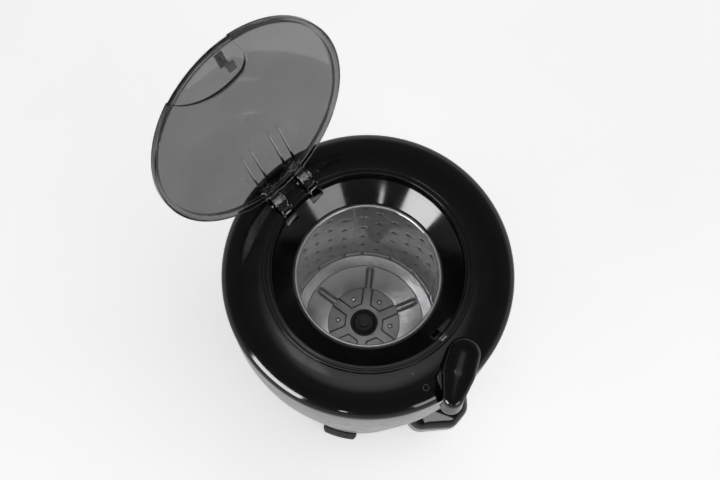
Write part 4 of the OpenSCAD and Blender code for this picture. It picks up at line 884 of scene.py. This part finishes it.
def hull(name, points):
    work = bmesh.new()
    for p in points:
        work.verts.new([c * MM for c in p])
    result = bmesh.ops.convex_hull(work, input=work.verts)
    spare = {v for v in result["geom_interior"] + result["geom_unused"] if isinstance(v, bmesh.types.BMVert)}
    bmesh.ops.delete(work, geom=list(spare), context="VERTS")
    bmesh.ops.recalc_face_normals(work, faces=work.faces)
    mesh = bpy.data.meshes.new(name)
    work.to_mesh(mesh)
    work.free()
    obj = bpy.data.objects.new(name, mesh)
    scene.collection.objects.link(obj)
    return dress(obj, None, "black")


def softened(obj, voxel, rounds):
    """One even skin over the object, smoothed."""
    skin = obj.modifiers.new("skin", "REMESH")
    skin.mode = "VOXEL"
    skin.voxel_size = voxel * MM
    smooth = obj.modifiers.new("smooth", "SMOOTH")
    smooth.factor = 0.5
    smooth.iterations = rounds
    return flatten(obj)


LEVER_Z, RIM_Z = 603.6, 576.0  # underside of the lever, and the level that its grip reaches
SPINDLE_R, LEVER_CLEAR_R = 5.02, 175.1
bulb, waist, heel, grip = ((3.8, -147.3, LEVER_Z + 2, 19.3, 10.6), (-15, -157.5, LEVER_Z + 2, 19.6, 10.6),
                           (-39.2, -172.4, LEVER_Z - 3, 12.9, 10.2), (-41.5, -174.6, RIM_Z + 1, 13.7, 12.2))
lever = None
for one, two in ((bulb, waist), (waist, heel), (heel, grip)):
    part = hull("lever_grip", ball(*one) + ball(*two))
    lever = join(lever, part) if lever else part
softened(lever, 0.9, 26)
sweep = outline((0, 540), (LEVER_CLEAR_R, 540), (LEVER_CLEAR_R, LEVER_Z, 0.3), (0, LEVER_Z))
for swing in (0, 20, 40):
    keep_out = lathe("keep_out", sweep, None, "black", None, RING)
    keep_out.data.transform(turned(Vector((*PIVOT, 0)) * MM, math.radians(-swing), "Z"))
    cut(lever, keep_out)
cut(lever, prism("socket", disc(*PIVOT, SPINDLE_R), LEVER_Z - 1, LEVER_Z + 5))
dress(lever, "lever", "black", "lock_lever", 42)

plinth = bevelled("lever_plinth", 0.6)
join(plinth, prism("cover", disc(*PIVOT, 9.5), 602.62, 602.9))
cut(plinth, prism("bore", disc(*PIVOT, 5.25), 602.5, 604))
dress(plinth, "cabinet", "black", "lever_plinth", 40)

for node in ("foot_left", "foot_right", "foot_rear"):
    bevelled(node, 1.6)


CASING_R, BELLY_Z, TONGUE_R, TONGUE_Z = 174, 500, 171.7, 561
TAPER, BLEND_R = math.tan(math.radians(4.6)), 900
PORT_Z, SPOUT_OUT, SPOUT_TURN, HOOD_R = 176, 48, math.radians(5), 22


def casing_r(z):
    """The casing's radius: it bulges at the belly and tapers below it."""
    start = BLEND_R * TAPER
    if z >= BELLY_Z:
        return CASING_R - (CASING_R - TONGUE_R) * ((z - BELLY_Z) / (TONGUE_Z - BELLY_Z)) ** 2
    if z >= BELLY_Z - start:
        return CASING_R - (BELLY_Z - z) ** 2 / (2 * BLEND_R)
    return CASING_R - start * TAPER / 2 - (BELLY_Z - start - z) * TAPER


def hood(inset):
    """The hood's form: balls at its corners, a rounded foot below them."""
    wall, radius = -casing_r(PORT_Z), HOOD_R - inset
    nose_y, root_y = wall + HOOD_R - SPOUT_OUT, wall + 2
    points = []
    for side in (-1, 1):
        corners = (side * 8.51, nose_y), (side * 37, root_y)
        points += ball(*corners[0], 154, radius) + ball(*corners[1], 168, radius)
        points += ball(side * 29.6, root_y + 18, 180, radius)
        points += [(x, y, z) for z in (130, 142) for corner in corners for x, y in disc(*corner, radius)]
    return hull("spout_hood", points)


def barrel(grow):
    """The casing's own form near the spout, made fuller by grow."""
    line = [(0, 106)] + [(casing_r(z) + grow, z) for z in range(106, 228, 6)] + [(0, 226)]
    return lathe("barrel", line, None, "black", None, RING)


at_port = Matrix.Translation((0, 0, PORT_Z * MM)) @ Matrix.Rotation(math.pi / 2, 4, "X")
spout = softened(hood(0), 1.0, 16)
cut(spout, cut(hood(2.6), barrel(3.3)))
cut(spout, barrel(0.3))
cut(spout, prism("below", [(-90, -260), (90, -260), (90, -60), (-90, -60)], 80, 134))
port = prism("port", disc(0, 0, 10.7), 120, 170)
port.data.transform(at_port)
cut(spout, port)
nipple_line = outline((10.7, 126), (13.0, 126, 0.4), (13.0, 152, 0.4), (10.7, 152))
nipple = lathe("nipple", nipple_line, None, "black", None, 64)
nipple.data.transform(at_port)
join(spout, nipple)
spout.data.transform(Matrix.Rotation(SPOUT_TURN, 4, "Z"))
dress(spout, "cabinet", "black", "spout", 38)


def printed(name, x, y, outer, inner):
    """A thin printed mark that lies on the crowned deck."""
    sunk, proud, count = -0.15, 0.03, 40
    verts = [(px, py, crown(math.hypot(px, py)) + lift)
             for radius, lift in ((outer, sunk), (outer, proud), (inner, proud), (inner, sunk))
             for px, py in disc(x, y, radius, count)]
    faces = []
    for k in range(4):
        here, there = k * count, (k + 1) % 4 * count
        faces += [(here + i, here + (i + 1) % count, there + (i + 1) % count, there + i) for i in range(count)]
    return add_piece(name, verts, faces, "cabinet", "black")


ink = moulded("grey_ink", (0.05,) * 3, (0.065,) * 3)
finish(printed("ring_mark", -51.6, -143.4, 3.6, 3.0), ink)
finish(printed("dot_mark", -51.3, -122.0, 1.5, 0.2), ink)

# ---------------------------------------------------------------- stage and lights
FLOOR_HALF = 6  # metres
FLOOR_GLOW = 0.5
ground = bpy.data.meshes.new("floor")
corners = [(x * FLOOR_HALF, y * FLOOR_HALF, 0) for x, y in ((-1, -1), (1, -1), (1, 1), (-1, 1))]
ground.from_pydata(corners, [], [(0, 1, 2, 3)])
floor = bpy.data.objects.new("floor", ground)
scene.collection.objects.link(floor)
n = Nodes("floor")
n.shades(n.noise(3), (0.80, 0.80, 0.80), (0.83, 0.83, 0.83))
n.rough(n.noise(9), 0.75, 0.9)
path = n.add("LightPath")
seen = n.math("MAXIMUM", n.math("MAXIMUM", path.outputs["Is Camera Ray"], path.outputs["Is Transmission Ray"]),
              n.math("MULTIPLY", path.outputs["Is Glossy Ray"], 0.5))
glow = n.add("Emission")
glow.inputs["Color"].default_value = (1, 1, 1, 1)
n.link(n.math("MULTIPLY", seen, FLOOR_GLOW), glow.inputs["Strength"])
both = n.add("AddShader")
n.link(n.shader.outputs[0], both.inputs[0])
n.link(glow.outputs[0], both.inputs[1])
n.link(both.outputs[0], n.tree.nodes["Material Output"].inputs["Surface"])
ground.materials.append(n.material)

world = bpy.data.worlds.new("world")
scene.world = world
world.use_nodes = True
n = Nodes.__new__(Nodes)
n.tree = world.node_tree
background = n.tree.nodes["Background"]
sky = n.add("TexCoord").outputs["Generated"]
split = n.add("SeparateXYZ")
n.link(sky, split.inputs[0])
ramp = n.add("ValToRGB")
n.link(split.outputs["Z"], ramp.inputs["Fac"])
stops = ramp.color_ramp.elements
# brightness of the sky by the sine of its elevation
for place, level in ((0.01, 0.75), (0.10, 0.3), (0.3, 0.13), (0.80, 0.09), (0.96, 0.13), (0.992, 0.9)):
    stop = stops.new(place)
    stop.color = (level, level, level, 1)
stops.remove(stops[0])
path = n.add("LightPath")
shown = n.add("Mix", data_type="RGBA")
n.link(path.outputs["Is Camera Ray"], shown.inputs["Factor"])
n.link(ramp.outputs["Color"], shown.inputs["A"])
shown.inputs["B"].default_value = (1, 1, 1, 1)
n.link(shown.outputs["Result"], background.inputs["Color"])


def softbox(name, azimuth, elevation, distance, width, height, radiance, mirrored=True, card=False):
    """A soft lamp of a given brightness, placed round the object's top.

    A card shows in gloss alone; a lamp that isn't mirrored lights without showing there.
    """
    a, e = math.radians(azimuth), math.radians(elevation)
    toward = Vector((math.cos(e) * math.cos(a), math.cos(e) * math.sin(a), math.sin(e)))
    data = bpy.data.lights.new(name, "AREA")
    data.shape = "RECTANGLE"
    data.size, data.size_y = width, height
    data.energy = radiance * math.pi * width * height
    lamp = bpy.data.objects.new(name, data)
    lamp.location = Vector((0, 0, 0.57)) + toward * distance
    lamp.rotation_euler = toward.to_track_quat("Z", "Y").to_euler()
    lamp.visible_glossy = mirrored
    lamp.visible_diffuse = not card
    scene.collection.objects.link(lamp)


softbox("window", 178, 14, 2.2, 1.15, 0.75, 15, card=True)
softbox("room", -97, 16, 2.4, 1.2, 0.6, 5, card=True)
softbox("lamp", -146, 18, 2.4, 0.14, 0.2, 12, card=True)
softbox("glow", 123, 82, 2.4, 0.4, 0.3, 1.1, card=True)
softbox("key", 170, 40, 2.6, 1.2, 0.9, 1.8, False)
softbox("fill", -60, 76, 3.0, 2.6, 2.6, 2.5, False)

scene.view_settings.view_transform = "Standard"
